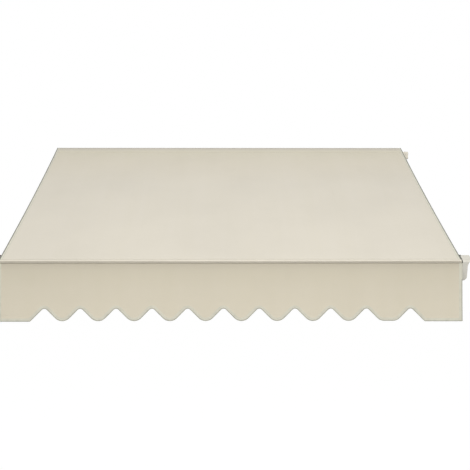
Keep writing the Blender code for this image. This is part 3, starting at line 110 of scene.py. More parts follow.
# The valance's lower edge
VALANCE_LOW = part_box("valance")[0].z
SCALLOP_PITCH = 0.148
SCALLOP_DEPTH = 0.0526
NOTCH_RADIUS = 0.0145
FIRST_NOTCH = 0.1885
LAST_LOBE_EXTRA = 0.028
NOTCHES = 11
LOBE_LIFT = 0.002
LAST_NOTCH_SHIFT = 0.007
VALANCE_OVERHANG = 0.0026
VALANCE_KICK = 0.008
VALANCE_ROD_RADIUS = 0.0019
CAP_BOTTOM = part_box("front_cap_left")[0].z

# Profiles of the small turned pieces, as (distance along the axis, radius)
PIN_CAP = ((-0.0026, 0.0101), (-0.0002, 0.0105), (0.0012, 0.0099), (0.0022, 0.0080), (0.0028, 0.0048),
           (0.0030, 0.0014))
SCREW_HEAD = ((-0.0010, 0.0036), (0.0012, 0.0036), (0.0019, 0.0030), (0.0019, 0.0017), (0.0006, 0.0013))
SET_SCREW = ((-0.0010, 0.0040), (0.0008, 0.0040), (0.0014, 0.0034), (0.0014, 0.0022), (-0.0006, 0.0020))
# The pip in that gap, black as painted shadow
GAP_SHADOW_PIP = ((-0.0016, 0.0030), (-0.0010, 0.0040), (0.0032, 0.0040), (0.0040, 0.0028))

# Where the collars' set screws are in side view, and half of a collar's width
SET_SCREW_PLACE = (0.060, -0.0260)
COLLAR_HALF = 0.012

# The floor's reach each way, its grid and how white the camera sees it
FLOOR_REACH = 18
FLOOR_STEP = 1.5
FLOOR_GLOW = 1.14
FLOOR_WHITE_SHARE = 0.82

# Where the lights point, and each one's width and height in metres and its colour
LIGHT_AIM = Vector((0, -0.85, -0.18))
KEY_SIZE, KEY_TINT = (2.4, 2.4), (1.0, 0.988, 0.965)
BOUNCE_SIZE, BOUNCE_TINT = (4.0, 0.6), (1.0, 0.985, 0.96)
BOUNCE_PLACE = Vector((0.0, -3.1, -2.2))

# The camera stands at half the slope's height, a little to the left of the middle
CAMERA_PLACE = (-0.0213, -5.2602, -0.2202)
CAMERA_DOWN = math.radians(1.552)
CAMERA_RIGHT = math.radians(0.585)

AHEAD, DOWN = FOLD.x - ROLLER[0], ROLLER[1] - FOLD.y
SLOPE = math.atan2(DOWN, AHEAD) + math.asin(ROLL_RADIUS / math.hypot(AHEAD, DOWN))
ALONG = Vector((math.cos(SLOPE), -math.sin(SLOPE)))
NORMAL = Vector((math.sin(SLOPE), math.cos(SLOPE)))
CREST = math.pi / 2 - SLOPE
TANGENT = Vector(ROLLER) + ROLL_RADIUS * NORMAL


# What a user would change

class AwningClothSizes(bpy.types.PropertyGroup):
    thickness: bpy.props.FloatProperty(
        name="Cloth thickness", description="Thickness of the coated cloth",
        default=0.0005, min=0.0002, max=0.001, precision=5, unit="LENGTH")
    tape: bpy.props.FloatProperty(
        name="Binding width", description="Width of the binding tape on each raw edge",
        default=0.0135, min=0.004, max=0.03, precision=4, unit="LENGTH")
    # The outer folds of the bindings are coloured darker as painted shade, where the rounded fold turns from
    # the light
    rim: bpy.props.FloatProperty(
        name="Binding fold", description="Width of the worn outer fold of the canopy's binding",
        default=0.0048, min=0.001, max=0.008, precision=4, unit="LENGTH")
    hem_rim: bpy.props.FloatProperty(
        name="Hem fold", description="Width of the worn outer fold of the valance's binding",
        default=0.0040, min=0.001, max=0.008, precision=4, unit="LENGTH")
    # The seam line at the binding's inner edge is coloured darker as painted shadow of the tape's edge
    seam: bpy.props.FloatProperty(
        name="Seam", description="Width of the sewn inner edge of the binding",
        default=0.0022, min=0.001, max=0.005, precision=4, unit="LENGTH")
    neck: bpy.props.FloatProperty(
        name="Necking", description="How far the stretched cloth pulls in at each side, half way out",
        default=0.0035, min=0.0, max=0.01, precision=4, unit="LENGTH")
    sag: bpy.props.FloatProperty(
        name="Sag", description="How far the open cloth hangs below a straight line",
        default=0.003, min=0.0, max=0.02, precision=4, unit="LENGTH")
    lead: bpy.props.FloatProperty(
        name="Lead", description="Length of cloth in front of the roll that bends when the pitch is set",
        default=0.070, min=0.02, max=0.2, precision=3, unit="LENGTH")


class AwningColours(bpy.types.PropertyGroup):
    cloth: bpy.props.StringProperty(
        name="Canopy", description="sRGB hex colour of the canopy cloth", default="DDD7CA")
    valance: bpy.props.StringProperty(
        name="Valance", description="sRGB hex colour of the valance cloth", default="DFD7C4")
    tape: bpy.props.StringProperty(
        name="Binding", description="sRGB hex colour of the binding tape", default="DAD7C7")
    # The colours of the bindings' outer folds are painted shade, where the rounded fold turns from the light
    rim: bpy.props.StringProperty(
        name="Binding fold", description="sRGB hex colour of the canopy binding's worn fold",
        default="87877D")
    hem_rim: bpy.props.StringProperty(
        name="Hem fold", description="sRGB hex colour of the valance binding's worn fold", default="B8B7AA")
    # The seam line's colour is painted shadow of the tape's inner edge
    seam: bpy.props.StringProperty(
        name="Binding seam", description="sRGB hex colour of the binding's sewn inner edge", default="D0CEC0")
    paint: bpy.props.StringProperty(
        name="Frame", description="sRGB hex colour of the powder coat", default="E1DBCC")
    plastic: bpy.props.StringProperty(
        name="Caps", description="sRGB hex colour of the moulded caps", default="DFDCD2")


class AwningStageSettings(bpy.types.PropertyGroup):
    floor_drop: bpy.props.FloatProperty(
        name="Floor", description="How far the floor is below the square bar",
        default=2.75, min=0.8, max=6.0, unit="LENGTH")
    key_watts: bpy.props.FloatProperty(
        name="Key light", description="Power of the large soft key light",
        default=215.0, min=0.0, unit="POWER")
    key_height: bpy.props.FloatProperty(
        name="Key height", description="Angle of the key light above the horizon",
        default=math.radians(46), min=0.0, max=math.radians(90), subtype="ANGLE")
    bounce_watts: bpy.props.FloatProperty(
        name="Bounce light", description="Power of the low wide light in front, as from a reflector",
        default=8.0, min=0.0, unit="POWER")
    key_distance: bpy.props.FloatProperty(
        name="Key distance", description="Distance of the key light from the cloth",
        default=5.5, min=2.0, max=12.0, unit="LENGTH")
    ambient: bpy.props.FloatProperty(
        name="Ambient light", description="Strength of the even light from all round",
        default=0.39, min=0.0, max=2.0)
    lens: bpy.props.FloatProperty(
        name="Lens", description="Focal length of the camera in millimetres",
        default=70.14, min=20, max=200)


# Colours and shader nodes

def linear(hexa, factor=1.0):
    """An sRGB hex colour as linear red, green, blue and alpha, made lighter or darker by the factor."""
    parts = [int(hexa[i:i + 2], 16) / 255 for i in (0, 2, 4)]
    flat = [c / 12.92 if c <= 0.04045 else ((c + 0.055) / 1.055) ** 2.4 for c in parts]
    return tuple(min(1.0, c * factor) for c in flat) + (1.0,)


def per_metre(millimetres):
    """The scale of a pattern whose lumps are that far apart."""
    return 1000 / millimetres


def socket(source):
    """The output that is meant by a node, its first one, or by an output itself."""
    return source.outputs[0] if isinstance(source, bpy.types.Node) else source


def add(tree, kind, values=None, links=None, stops=(), **settings):
    """Adds a shader node with its settings, the values of its inputs, the links into them and the
    stops of its colour ramp, each (position, linear colour) with positions that rise."""
    node = tree.nodes.new("ShaderNode" + kind)
    for key, value in settings.items():
        setattr(node, key, value)
    for key, value in (values or {}).items():
        node.inputs[key].default_value = value
    for key, source in (links or {}).items():
        tree.links.new(socket(source), node.inputs[key])
    for number, (position, colour) in enumerate(stops):
        elements = node.color_ramp.elements
        element = elements[number] if number < 2 else elements.new(position)
        element.position = position
        element.color = colour
    return node


MULTIPLY = {"data_type": "RGBA", "blend_type": "MULTIPLY"}
WHITE = linear("FFFFFF")


def start_material(name, **sockets):
    """A material whose Principled shader holds its plain numbers on its own sockets."""
    made = bpy.data.materials.new(name)
    made.use_nodes = True
    shader = made.node_tree.nodes["Principled BSDF"]
    for key, value in sockets.items():
        shader.inputs[key.replace("_", " ")].default_value = value
    return made, made.node_tree, shader


def connect(tree, shader, **sources):
    """Links each source into the shader's socket of that name."""
    for key, source in sources.items():
        tree.links.new(socket(source), shader.inputs[key.replace("_", " ")])


# Tints down the cloth, as (metres from its upper end, sRGB hex). On the valance they are painted shade:
# darker close under the bar's nose, lighter down to about 185 mm below it. On the canopy the grey band
# where the cloth leaves the roll is painted shade over the roll's curve, and the canopy is a little yellower
# near the wall.
VALANCE_TINTS = ((0.0, "E7E6E5"), (0.014, "ECEBEB"), (0.030, "F4F4F3"),
                 (0.060, "F8F8F7"), (0.110, "FCFCFC"), (0.185, "FFFFFF"))
CANOPY_TINTS = ((0.0, "E6E6E6"), (0.066, "E6E6E6"), (0.088, "F7F7F6"),
                (0.115, "FDFDF7"), (0.30, "FFFEFB"), (0.62, "FFFFFF"))


def woven_cloth(name, hexa, shade_and_tint, unevenness):
    """Plain woven polyester with a polyurethane coat: a fine even grain, hardly any gloss, and faint
    clouds and runs of tone where the coat is thicker or has weathered. The real threads are 0.45 mm
    apart and the slubs 0.8 mm, and are drawn 1.5 and 2.4 mm apart so that a near view shows them."""
    thread, slub, cloud, run_width, run_length = 1.5, 2.4, 385, 70, 1250
    made, tree, shader = start_material(name, Roughness=0.82, IOR=1.5, Specular_IOR_Level=0.25)
    place = add(tree, "UVMap")
    turns = 2 * math.pi * per_metre(thread)
    threads = add(tree, "Mapping", {"Scale": (turns, turns, turns)}, {"Vector": place})
    split = add(tree, "SeparateXYZ", links={"Vector": threads})
    warp = add(tree, "Math", links={0: split.outputs["X"]}, operation="SINE")
    weft = add(tree, "Math", links={0: split.outputs["Y"]}, operation="SINE")
    weave = add(tree, "Math", links={0: warp, 1: weft}, operation="MULTIPLY")
    slubs = add(tree, "TexNoise", {"Scale": per_metre(slub), "Detail": 3.0}, {"Vector": place})
    height = add(tree, "Math", links={0: weave, 1: slubs}, operation="ADD")
    clouds = add(tree, "TexNoise", {"Scale": per_metre(cloud), "Detail": 5.0, "Roughness": 0.55},
                 {"Vector": place})
    tone = add(tree, "ValToRGB", links={"Fac": clouds}, stops=(
        (0.28, linear(hexa, 1 - 0.030 * unevenness)), (0.52, linear(hexa)),
        (0.78, linear(hexa, 1 + 0.022 * unevenness))))
    runs_at = add(tree, "Mapping", {"Scale": (per_metre(run_width), per_metre(run_length), 1.0)},
                  {"Vector": place})
    runs = add(tree, "TexNoise", {"Scale": 1.0, "Detail": 3.0}, {"Vector": runs_at})
    wash = add(tree, "ValToRGB", links={"Fac": runs},
               stops=((0.32, linear("FEFEFD")), (0.62, WHITE)))
    grain = add(tree, "ValToRGB", links={"Fac": slubs},
                stops=((0.3, linear("FBFBFB")), (0.6, WHITE)))
    # Painted shade down the cloth from its tints: darker under the bar's nose on the valance, and where the
    # canopy leaves the roll
    down = add(tree, "SeparateXYZ", links={"Vector": place})
    shade_and_tint_ramp = add(tree, "ValToRGB", links={"Fac": down.outputs["Y"]},
               stops=[(at, linear(tint)) for at, tint in shade_and_tint])
    colour = tone
    for layer in (wash, grain, shade_and_tint_ramp):
        mixed = add(tree, "Mix", {0: 1.0}, {6: colour, 7: layer}, **MULTIPLY)
        colour = mixed.outputs[2]
    bump = add(tree, "Bump", {"Strength": 0.30, "Distance": 0.0002}, {"Height": height})
    connect(tree, shader, Base_Color=colour, Normal=bump)
    return made


def binding_tape(name, hexa, worn=1.0):
    """Woven polyester tape, folded over the raw edge and sewn: ribs across it, a little greyer than
    the cloth because it takes up dust. The real ribs are 0.8 mm apart, and are drawn 2 mm apart."""
    rib, dust_patch = 2.0, 29
    made, tree, shader = start_material(name, Roughness=0.78, IOR=1.5, Sheen_Weight=0.15,
                                        Sheen_Roughness=0.5)
    place = add(tree, "UVMap")
    # A diagonal wave turns 10 times as fast as the sum of its coordinates
    waves = 2 * math.pi * per_metre(rib) / (10 * math.sqrt(2))
    ribs = add(tree, "TexWave", {"Scale": waves, "Distortion": 0.6, "Detail": 1.0}, {"Vector": place},
               wave_type="BANDS", bands_direction="DIAGONAL")
    dust = add(tree, "TexNoise", {"Scale": per_metre(dust_patch), "Detail": 4.0, "Roughness": 0.6},
               {"Vector": place})
    tone = add(tree, "ValToRGB", links={"Fac": dust}, stops=(
        (0.3, linear(hexa, 1 - 0.10 * worn)), (0.55, linear(hexa)), (0.8, linear(hexa, 1.04))))
    lines = add(tree, "ValToRGB", links={"Fac": ribs.outputs["Fac"]},
                stops=((0.0, linear("F9F9F8")), (0.5, WHITE)))
    mixed = add(tree, "Mix", {0: 1.0}, {6: tone, 7: lines}, **MULTIPLY)
    bump = add(tree, "Bump", {"Strength": 0.5, "Distance": 0.0003}, {"Height": ribs.outputs["Fac"]})
    connect(tree, shader, Base_Color=mixed.outputs[2], Normal=bump)
    return made


def dusted(tree, place, colour, tint):
    """Tints a colour a little where faces look up and dust settles, in uneven patches 70 mm across."""
    facing = add(tree, "SeparateXYZ", links={"Vector": add(tree, "NewGeometry").outputs["Normal"]})
    patch = add(tree, "TexNoise", {"Scale": per_metre(70), "Detail": 6.0, "Roughness": 0.62},
                {"Vector": place})
    lies = add(tree, "Math", links={0: facing.outputs["Z"], 1: patch}, operation="MULTIPLY")
    dust = add(tree, "ValToRGB", links={"Fac": lies},
               stops=((0.15, WHITE), (0.6, linear(tint))))
    mixed = add(tree, "Mix", {0: 1.0}, {6: colour, 7: dust}, **MULTIPLY)
    return mixed.outputs[2]


def powder_coat(name, hexa, nose_shade_band=False):
    """Polyester powder coat baked on aluminium or steel: an even satin skin with a faint orange peel.
    The real peel has lumps about 1 mm across, drawn 2.5 mm across, with rare darker specks. The front
    bar's nose gets a grey band along its face: painted shade, in place of the shadow line under the nose."""
    peel_lump, tone_patch = 2.5, 200
    made, tree, shader = start_material(name, Roughness=0.38, IOR=1.5, Coat_Weight=0.15, Coat_Roughness=0.25)
    place = add(tree, "TexCoord").outputs["Object"]
    peel = add(tree, "TexNoise", {"Scale": per_metre(peel_lump), "Detail": 1.5}, {"Vector": place})
    patch = add(tree, "TexNoise", {"Scale": per_metre(tone_patch), "Detail": 4.0}, {"Vector": place})
    tone = add(tree, "ValToRGB", links={"Fac": patch},
               stops=((0.3, linear(hexa, 0.965)), (0.7, linear(hexa, 1.02))))
    specks = add(tree, "ValToRGB", links={"Fac": peel},
                 stops=((0.22, linear("F3F3F1")), (0.30, WHITE)))
    mixed = add(tree, "Mix", {0: 1.0}, {6: tone, 7: specks}, **MULTIPLY)
    colour = dusted(tree, place, mixed.outputs[2], "F7F6F4")
    # Painted shade: a grey band along the front bar's nose, for the shadow line where the valance comes out
    # under it
    if nose_shade_band:
        height = add(tree, "SeparateXYZ", links={"Vector": place}).outputs["Z"]
        below = add(tree, "MapRange", {"From Min": NOSE[1] + 0.0043, "From Max": NOSE[1] + 0.0036},
                    {"Value": height})
        above = add(tree, "MapRange", {"From Min": NOSE[1] - 0.0018, "From Max": NOSE[1] - 0.0002},
                    {"Value": height})
        share = add(tree, "Math", links={0: below, 1: above},
                    operation="MULTIPLY")
        nose_shade = add(tree, "Mix", {7: linear("C9C6C1")}, {0: share, 6: colour}, **MULTIPLY)
        colour = nose_shade.outputs[2]
    rough = add(tree, "MapRange", {"To Min": 0.33, "To Max": 0.46}, {"Value": patch})
    bump = add(tree, "Bump", {"Strength": 0.12, "Distance": 0.0003}, {"Height": peel})
    connect(tree, shader, Base_Color=colour, Roughness=rough, Normal=bump)
    return made


def moulded_plastic(name, hexa, roughness=0.5):
    """ASA moulded in a spark-eroded tool: a matt skin with an even fine grain that scatters highlights.
    The real grain is 0.15 mm, drawn 0.7 mm, and sun has yellowed it unevenly."""
    grain_size, sun_patch = 0.7, 110
    made, tree, shader = start_material(name, Roughness=roughness, IOR=1.52)
    place = add(tree, "TexCoord").outputs["Object"]
    grain = add(tree, "TexVoronoi", {"Scale": per_metre(grain_size)}, {"Vector": place})
    sun = add(tree, "TexNoise", {"Scale": per_metre(sun_patch), "Detail": 3.0}, {"Vector": place})
    tone = add(tree, "ValToRGB", links={"Fac": sun},
               stops=((0.3, linear(hexa, 0.96)), (0.75, linear(hexa, 1.03))))
    bump = add(tree, "Bump", {"Strength": 0.18, "Distance": 0.0002}, {"Height": grain})
    colour = dusted(tree, place, tone, "E6E5E2")
    connect(tree, shader, Base_Color=colour, Normal=bump)
    return made


def galvanised_steel(name, hexa):
    """Hot-dip galvanised strip, roll-formed: a dull grey metal with a mosaic of zinc crystals, the
    spangle, each about 11 mm across and turned its own way, so some look lighter."""
    crystal, scratch_patch = 11, 17
    made, tree, shader = start_material(name, Metallic=1.0, Roughness=0.42)
    place = add(tree, "TexCoord").outputs["Object"]
    spangle = add(tree, "TexVoronoi", {"Scale": per_metre(crystal)}, {"Vector": place})
    tone = add(tree, "ValToRGB", links={"Fac": spangle.outputs["Color"]},
               stops=((0.1, linear(hexa, 0.72)), (0.9, linear(hexa, 1.08))))
    scratch = add(tree, "TexNoise", {"Scale": per_metre(scratch_patch), "Detail": 5.0}, {"Vector": place})
    rough = add(tree, "MapRange", {"To Min": 0.34, "To Max": 0.56}, {"Value": scratch})
    connect(tree, shader, Base_Color=tone, Roughness=rough)
    return made


def zinc_plated_steel(name, hexa):
    """Bright zinc plate on turned steel: a smooth grey metal with fine turning marks round it, dulled
    in patches to a soft white bloom. The real marks are 0.3 mm apart, and are drawn 1.4 mm apart."""
    mark, bloom_patch = 1.4, 26
    made, tree, shader = start_material(name, Metallic=1.0, Roughness=0.30)
    place = add(tree, "TexCoord").outputs["Object"]
    marks = add(tree, "TexNoise", {"Scale": per_metre(mark), "Detail": 2.0}, {"Vector": place})
    bloom = add(tree, "TexNoise", {"Scale": per_metre(bloom_patch), "Detail": 5.0, "Roughness": 0.65},
                {"Vector": place})
    tone = add(tree, "ValToRGB", links={"Fac": bloom},
               stops=((0.35, linear(hexa, 0.82)), (0.65, linear(hexa))))
    rough = add(tree, "MapRange", {"To Min": 0.22, "To Max": 0.50}, {"Value": bloom})
    bump = add(tree, "Bump", {"Strength": 0.10, "Distance": 0.0001}, {"Height": marks})
    connect(tree, shader, Base_Color=tone, Roughness=rough,
            Normal=bump)
    return made


def soft_black(name, hexa, roughness, bloom_patch):
    """Extruded PVC, and the black of the ring and pip that are painted shadow at the front bar's caps: nearly
    black, matt, with a faint grey bloom in patches of that many millimetres and fine drag lines."""
    made, tree, shader = start_material(name, Roughness=roughness, IOR=1.5)
    place = add(tree, "TexCoord").outputs["Object"]
    bloom = add(tree, "TexNoise", {"Scale": per_metre(bloom_patch), "Detail": 4.0}, {"Vector": place})
    tone = add(tree, "ValToRGB", links={"Fac": bloom},
               stops=((0.35, linear(hexa)), (0.8, linear(hexa, 2.2))))
    bump = add(tree, "Bump", {"Strength": 0.15, "Distance": 0.0002}, {"Height": bloom})
    connect(tree, shader, Base_Color=tone, Normal=bump)
    return made


FINISHES = {}


def finish(name):
    """The material of that name, made the first time it is asked for."""
    if name not in FINISHES:
        colours = bpy.context.scene.awning_colours
        makers = {
            "canopy_cloth": (woven_cloth, "coated_polyester_canopy", colours.cloth, CANOPY_TINTS, 1.0),
            "valance_cloth": (woven_cloth, "coated_polyester_valance", colours.valance, VALANCE_TINTS, 0.6),
            "tape": (binding_tape, "woven_binding_tape", colours.tape),
            # The bindings' outer folds: painted shade of the rounded fold, with the tape's dust patches
            "rim": (binding_tape, "woven_binding_worn_fold", colours.rim, 1.6),
            "hem_rim": (binding_tape, "woven_binding_hem_fold", colours.hem_rim, 1.6),
            # The seam line: painted shadow along the tape's inner edge
            "seam": (binding_tape, "woven_binding_sewn_edge", colours.seam),
            "paint": (powder_coat, "powder_coated_aluminium", colours.paint),
            # The front bar's paint carries the painted shade band on its nose
            "bar_paint": (powder_coat, "powder_coated_front_bar", colours.paint, True),
            "painted_steel": (powder_coat, "powder_coated_steel", colours.paint),
            "plastic": (moulded_plastic, "moulded_asa", colours.plastic),
            "nylon": (moulded_plastic, "moulded_nylon", "D4D1C6", 0.42),
            "galvanised": (galvanised_steel, "galvanised_steel_tube", "B9BCBC"),
            "zinc": (zinc_plated_steel, "zinc_plated_steel", "C6C8C9"),
            "spring": (zinc_plated_steel, "galvanised_spring_wire", "9EA1A2"),
            "sleeve": (soft_black, "extruded_pvc_sleeve", "17181A", 0.42, 17),
            # Black for the ring and pip at the bar's caps: painted shadow
            "rubber": (soft_black, "extruded_rubber_seal", "141414", 0.72, 8),
        }
        maker, *wanted = makers[name]
        FINISHES[name] = maker(*wanted)
    return FINISHES[name]


# Mesh helpers

def new_piece(name, mesh, body, finishes):
    """A smooth object of its own that rides on a body."""
    piece = bpy.data.objects.new(name, mesh)
    bpy.context.scene.collection.objects.link(piece)
    for word in finishes:
        mesh.materials.append(finish(word))
    mesh.shade_smooth()
    mesh.set_sharp_from_angle(angle=math.radians(40))
    if body:
        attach(piece, body)
    return piece


def filled(name, rows, materials=None, uv=None, closed_rows=False):
    """A mesh from rows of points of equal length. materials and uv give a face's slot and a corner's
    place on the cloth."""
    shape = bmesh.new()
    grid = [[shape.verts.new(p) for p in row] for row in rows]
    layer = shape.loops.layers.uv.new("UVMap") if uv else None
    count = len(rows[0])
    for i in range(len(rows) - 1):
        for j in range(count if closed_rows else count - 1):
            k = (j + 1) % count
            face = shape.faces.new((grid[i][j], grid[i][k], grid[i + 1][k], grid[i + 1][j]))
            face.material_index = materials(i, j) if materials else 0
            if uv:
                for loop, at in zip(face.loops, ((i, j), (i, j + 1), (i + 1, j + 1), (i + 1, j))):
                    loop[layer].uv = uv(*at)
    mesh = bpy.data.meshes.new(name)
    shape.to_mesh(mesh)
    shape.free()
    return mesh


def close_ends(mesh, count, faces, material=0, uv=None):
    """Closes both ends of a tube whose rows have that many points, with faces that are given by their
    corners' places in the row."""
    shape = bmesh.new()
    shape.from_mesh(mesh)
    shape.verts.ensure_lookup_table()
    layer = shape.loops.layers.uv.active
    for row in (0, len(shape.verts) // count - 1):
        for corners in faces:
            face = shape.faces.new([shape.verts[row * count + c] for c in corners])
            face.material_index = material
            if uv:
                for loop, c in zip(face.loops, corners):
                    loop[layer].uv = uv(row, c)
    bmesh.ops.recalc_face_normals(shape, faces=shape.faces)
    shape.to_mesh(mesh)
    shape.free()
    return mesh


def folded_faces(count):
    """The faces that close a flat folded row, from one half of it to the other."""
    return [(j, j + 1, count - 2 - j, count - 1 - j) for j in range(count // 2 - 1)]


def circle(centre, radius, across, over, sides):
    """Points round a centre, in the plane of two directions."""
    turns = (2 * math.pi * k / sides for k in range(sides))
    return [centre + radius * (math.cos(a) * across + math.sin(a) * over) for a in turns]


def two_sided(name, columns, path, thickness_at, wave_at, materials, uv, width_at=None):
    """A thin closed sheet: columns across X, a side-view path, and its upper and lower faces. width_at
    gives the share of its full width at a place along the path."""
    upper, lower = [], []
    for i, (point, normal) in enumerate(path):
        over, under = [], []
        share = width_at(i) if width_at else 1.0
        for j, x in enumerate(columns):
            half = thickness_at(j, i) / 2
            shift = wave_at(x, i)
            top = point + normal * (shift + half)
            low = point + normal * (shift - half)
            over.append(side_point(x * share, *top))
            under.append(side_point(x * share, *low))
        upper.append(over)
        lower.append(under)
    rows = [over + under[::-1] for over, under in zip(upper, lower)]
    last = 2 * len(columns) - 1

    def fold_back(j):
        return j if j < len(columns) else last - j

    def slot_of(i, j):
        first, second = fold_back(j), fold_back((j + 1) % (last + 1))
        return materials(i, min(first, second), first == second)

    def place_of(i, j):
        return uv(i, fold_back(j % (last + 1)))

    mesh = filled(name, rows, slot_of, place_of, closed_rows=True)
    return close_ends(mesh, last + 1, folded_faces(last + 1), uv=place_of)


def side_point(x, forward, up):
    """A place in the world frame from its X and its side-view place."""
    return Vector((x, -forward, up))


def arc(centre, radius, start, sweep, steps):
    """(point, outward normal) pairs along an arc in side view."""
    found = []
    for i in range(steps + 1):
        angle = start + sweep * i / steps
        way = Vector((math.cos(angle), math.sin(angle)))
        found.append((Vector(centre) + radius * way, way))
    return found


def even(low, high, step):
    """Places from low to high, evenly spaced about a step apart."""
    count = max(1, round((high - low) / step))
    return [low + (high - low) * i / count for i in range(count + 1)]


def run_lengths(path):
    """How far along a path of (point, normal) pairs each of its points is."""
    lengths = [0.0]
    for (a, _), (b, _) in zip(path, path[1:]):
        lengths.append(lengths[-1] + (b - a).length)
    return lengths


# Canopy

CANOPY_FINISHES = ("canopy_cloth", "tape", "rim", "seam")
CANOPY_STEP = 0.022
LIP_STEP = 0.008
LEAD_STEP = 0.010
CALM_RUN = 0.3
# The cloth on the roll is drawn thinner, so that its turns stay apart
ROLLED_SHARE = 0.85


def canopy_columns(sizes):
    """Places across the cloth: the binding's fold, its tape and its stitched line at each side."""
    half = CLOTH_HALF
    edge = [0.0, sizes.rim, sizes.tape - sizes.seam, sizes.tape, sizes.tape + 0.008]
    inner = even(-half + sizes.tape + 0.02, half - sizes.tape - 0.02, CANOPY_STEP)
    return [-half + e for e in edge] + inner + [half - e for e in reversed(edge)]


def canopy_finish(sizes, columns):
    """Which material a strip of the cloth has, by its place across."""
    def choose(_, j, rim=False):
        # Slot 2, the binding's outer fold and the sheet's side faces, is coloured as painted shade
        if rim:
            return 2
        middle = abs(columns[j] + columns[min(j + 1, len(columns) - 1)]) / 2
        inward = CLOTH_HALF - middle
        if inward < sizes.rim:
            return 2
        if inward < sizes.tape - sizes.seam:
            return 1
        # Slot 3, the seam line, is coloured as painted shadow of the tape's edge
        if inward < sizes.tape:
            return 3
        return 0
    return choose


def cloth_thickness(sizes, columns):
    """How thick the cloth is at a column: thicker where the binding is folded round its edge."""
    def choose(j, _):
        inward = CLOTH_HALF - abs(columns[j])
        bound = inward < sizes.tape - STITCH_INSET
        return BOUND_LAYERS * sizes.thickness if bound else sizes.thickness
    return choose


def ripple(x, along):
    """Slight unevenness of taut cloth, in metres: long soft swells, less than a millimetre high."""
    swell = math.sin(3.1 * x + 1.3) * math.sin(2.4 * along + 0.4) + 0.6 * math.sin(7.3 * x - 2.1 * along)
    return 0.00045 * swell


class AWNING_OT_canopy(bpy.types.Operator):
    """Make the canopy as one sheet with bound sides, and the lead that comes off the roll"""
    bl_idname = "awning.canopy"
    bl_label = "Canopy"

    def execute(self, context):
        sizes = context.scene.awning_cloth
        columns = canopy_columns(sizes)
        offset = sizes.thickness / 2
        lift = TANGENT + offset * NORMAL
        fold_at = (FOLD - TANGENT).dot(ALONG)
        taut_end, slot_at = fold_at - LIP_RUN, fold_at - GROOVE_SETBACK

        lead_path = arc(ROLLER, ROLL_RADIUS + offset, CREST + LEAD_WRAP, -LEAD_WRAP, 26)
        lead_path += [(lift + s * ALONG, NORMAL) for s in even(0, sizes.lead, LEAD_STEP)[1:]]
        main_path = []
        before_lip = even(taut_end, slot_at - 0.002, LIP_STEP)[1:]
        for s in even(sizes.lead, taut_end, CANOPY_STEP) + before_lip:
            dip = 4 * sizes.sag * s * (taut_end - s) / taut_end ** 2 if s < taut_end else 0.0
            main_path.append((lift + s * ALONG - dip * NORMAL, NORMAL))
        lip = lift + (slot_at - 2 * LIP_RADIUS) * ALONG - LIP_RADIUS * NORMAL
        main_path += arc(lip, LIP_RADIUS, CREST, -math.radians(80), 4)
        seat = FOLD - GROOVE_SETBACK * ALONG - GROOVE_DEPTH * NORMAL
        main_path += arc(seat, KEDER_RADIUS, CREST + math.radians(10), -math.radians(335), 14)

        for name, path, before in (
            ("canopy_lead", lead_path, 0.0),
            ("canopy_cloth", main_path, run_lengths(lead_path)[-1]),
        ):
            lengths = [before + s for s in run_lengths(path)]
            reached = [(p - TANGENT).dot(ALONG) for p, _ in path]

            def wave(x, i):
                s = reached[i]
                return ripple(x, lengths[i]) * max(0.0, min(1.0, s / CALM_RUN, (taut_end - s) / CALM_RUN))

            def width(i):
                share = min(1.0, max(0.0, reached[i] / slot_at))
                return 1 - 4 * sizes.neck * share * (1 - share) / CLOTH_HALF

            mesh = two_sided(name, columns, path, cloth_thickness(sizes, columns), wave,
                             canopy_finish(sizes, columns), lambda i, j: (columns[j] + 1, lengths[i]), width)
            piece = new_piece(name, mesh, None, CANOPY_FINISHES)
            if name == "canopy_lead":
                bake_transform(piece)
            else:
                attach(piece, "left_yoke")
                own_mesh(piece)
                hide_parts("canopy")
        return {"FINISHED"}


class AWNING_OT_cloth_roll(bpy.types.Operator):
    """Make the turns of cloth that stay on the roller"""
    bl_idname = "awning.cloth_roll"
    bl_label = "Cloth roll"

    def execute(self, context):
        sizes = context.scene.awning_cloth
        turns, per_turn = 6, 40
        pitch = (ROLL_RADIUS - TUBE_RADIUS - sizes.thickness) / turns
        start = CREST + LEAD_WRAP
        path = []
        for i in range(turns * per_turn + 1):
            angle = start + 2 * math.pi * i / per_turn
            way = Vector((math.cos(angle), math.sin(angle)))
            radius = TUBE_RADIUS + sizes.thickness / 2 + pitch * (turns - i / per_turn)
            path.append((Vector(ROLLER) + radius * way, way))
        edges = canopy_columns(sizes)
        columns = edges[:6] + even(-0.9, 0.9, 0.3) + edges[-6:]
        lengths = run_lengths(path)
        mesh = two_sided("cloth_roll_turns", columns, path, lambda j, i: ROLLED_SHARE * sizes.thickness,
                         lambda x, i: 0.0, canopy_finish(sizes, columns),
                         lambda i, j: (columns[j] + 1, -lengths[i]))
        piece = new_piece("cloth_roll_turns", mesh, "roller", CANOPY_FINISHES)
        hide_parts("cloth_roll")
        return {"FINISHED"}


# Valance

VALANCE_STEP = 0.0024
CLOSEST_COLUMNS = 0.0007
VALANCE_ROWS = 15


def notch_centres():
    """Where the notches are across the valance. The last lobe is wider than the others."""
    centres = [-CLOTH_HALF + FIRST_NOTCH + i * SCALLOP_PITCH for i in range(NOTCHES)]
    centres[-1] += LAST_LOBE_EXTRA + LAST_NOTCH_SHIFT
    return centres


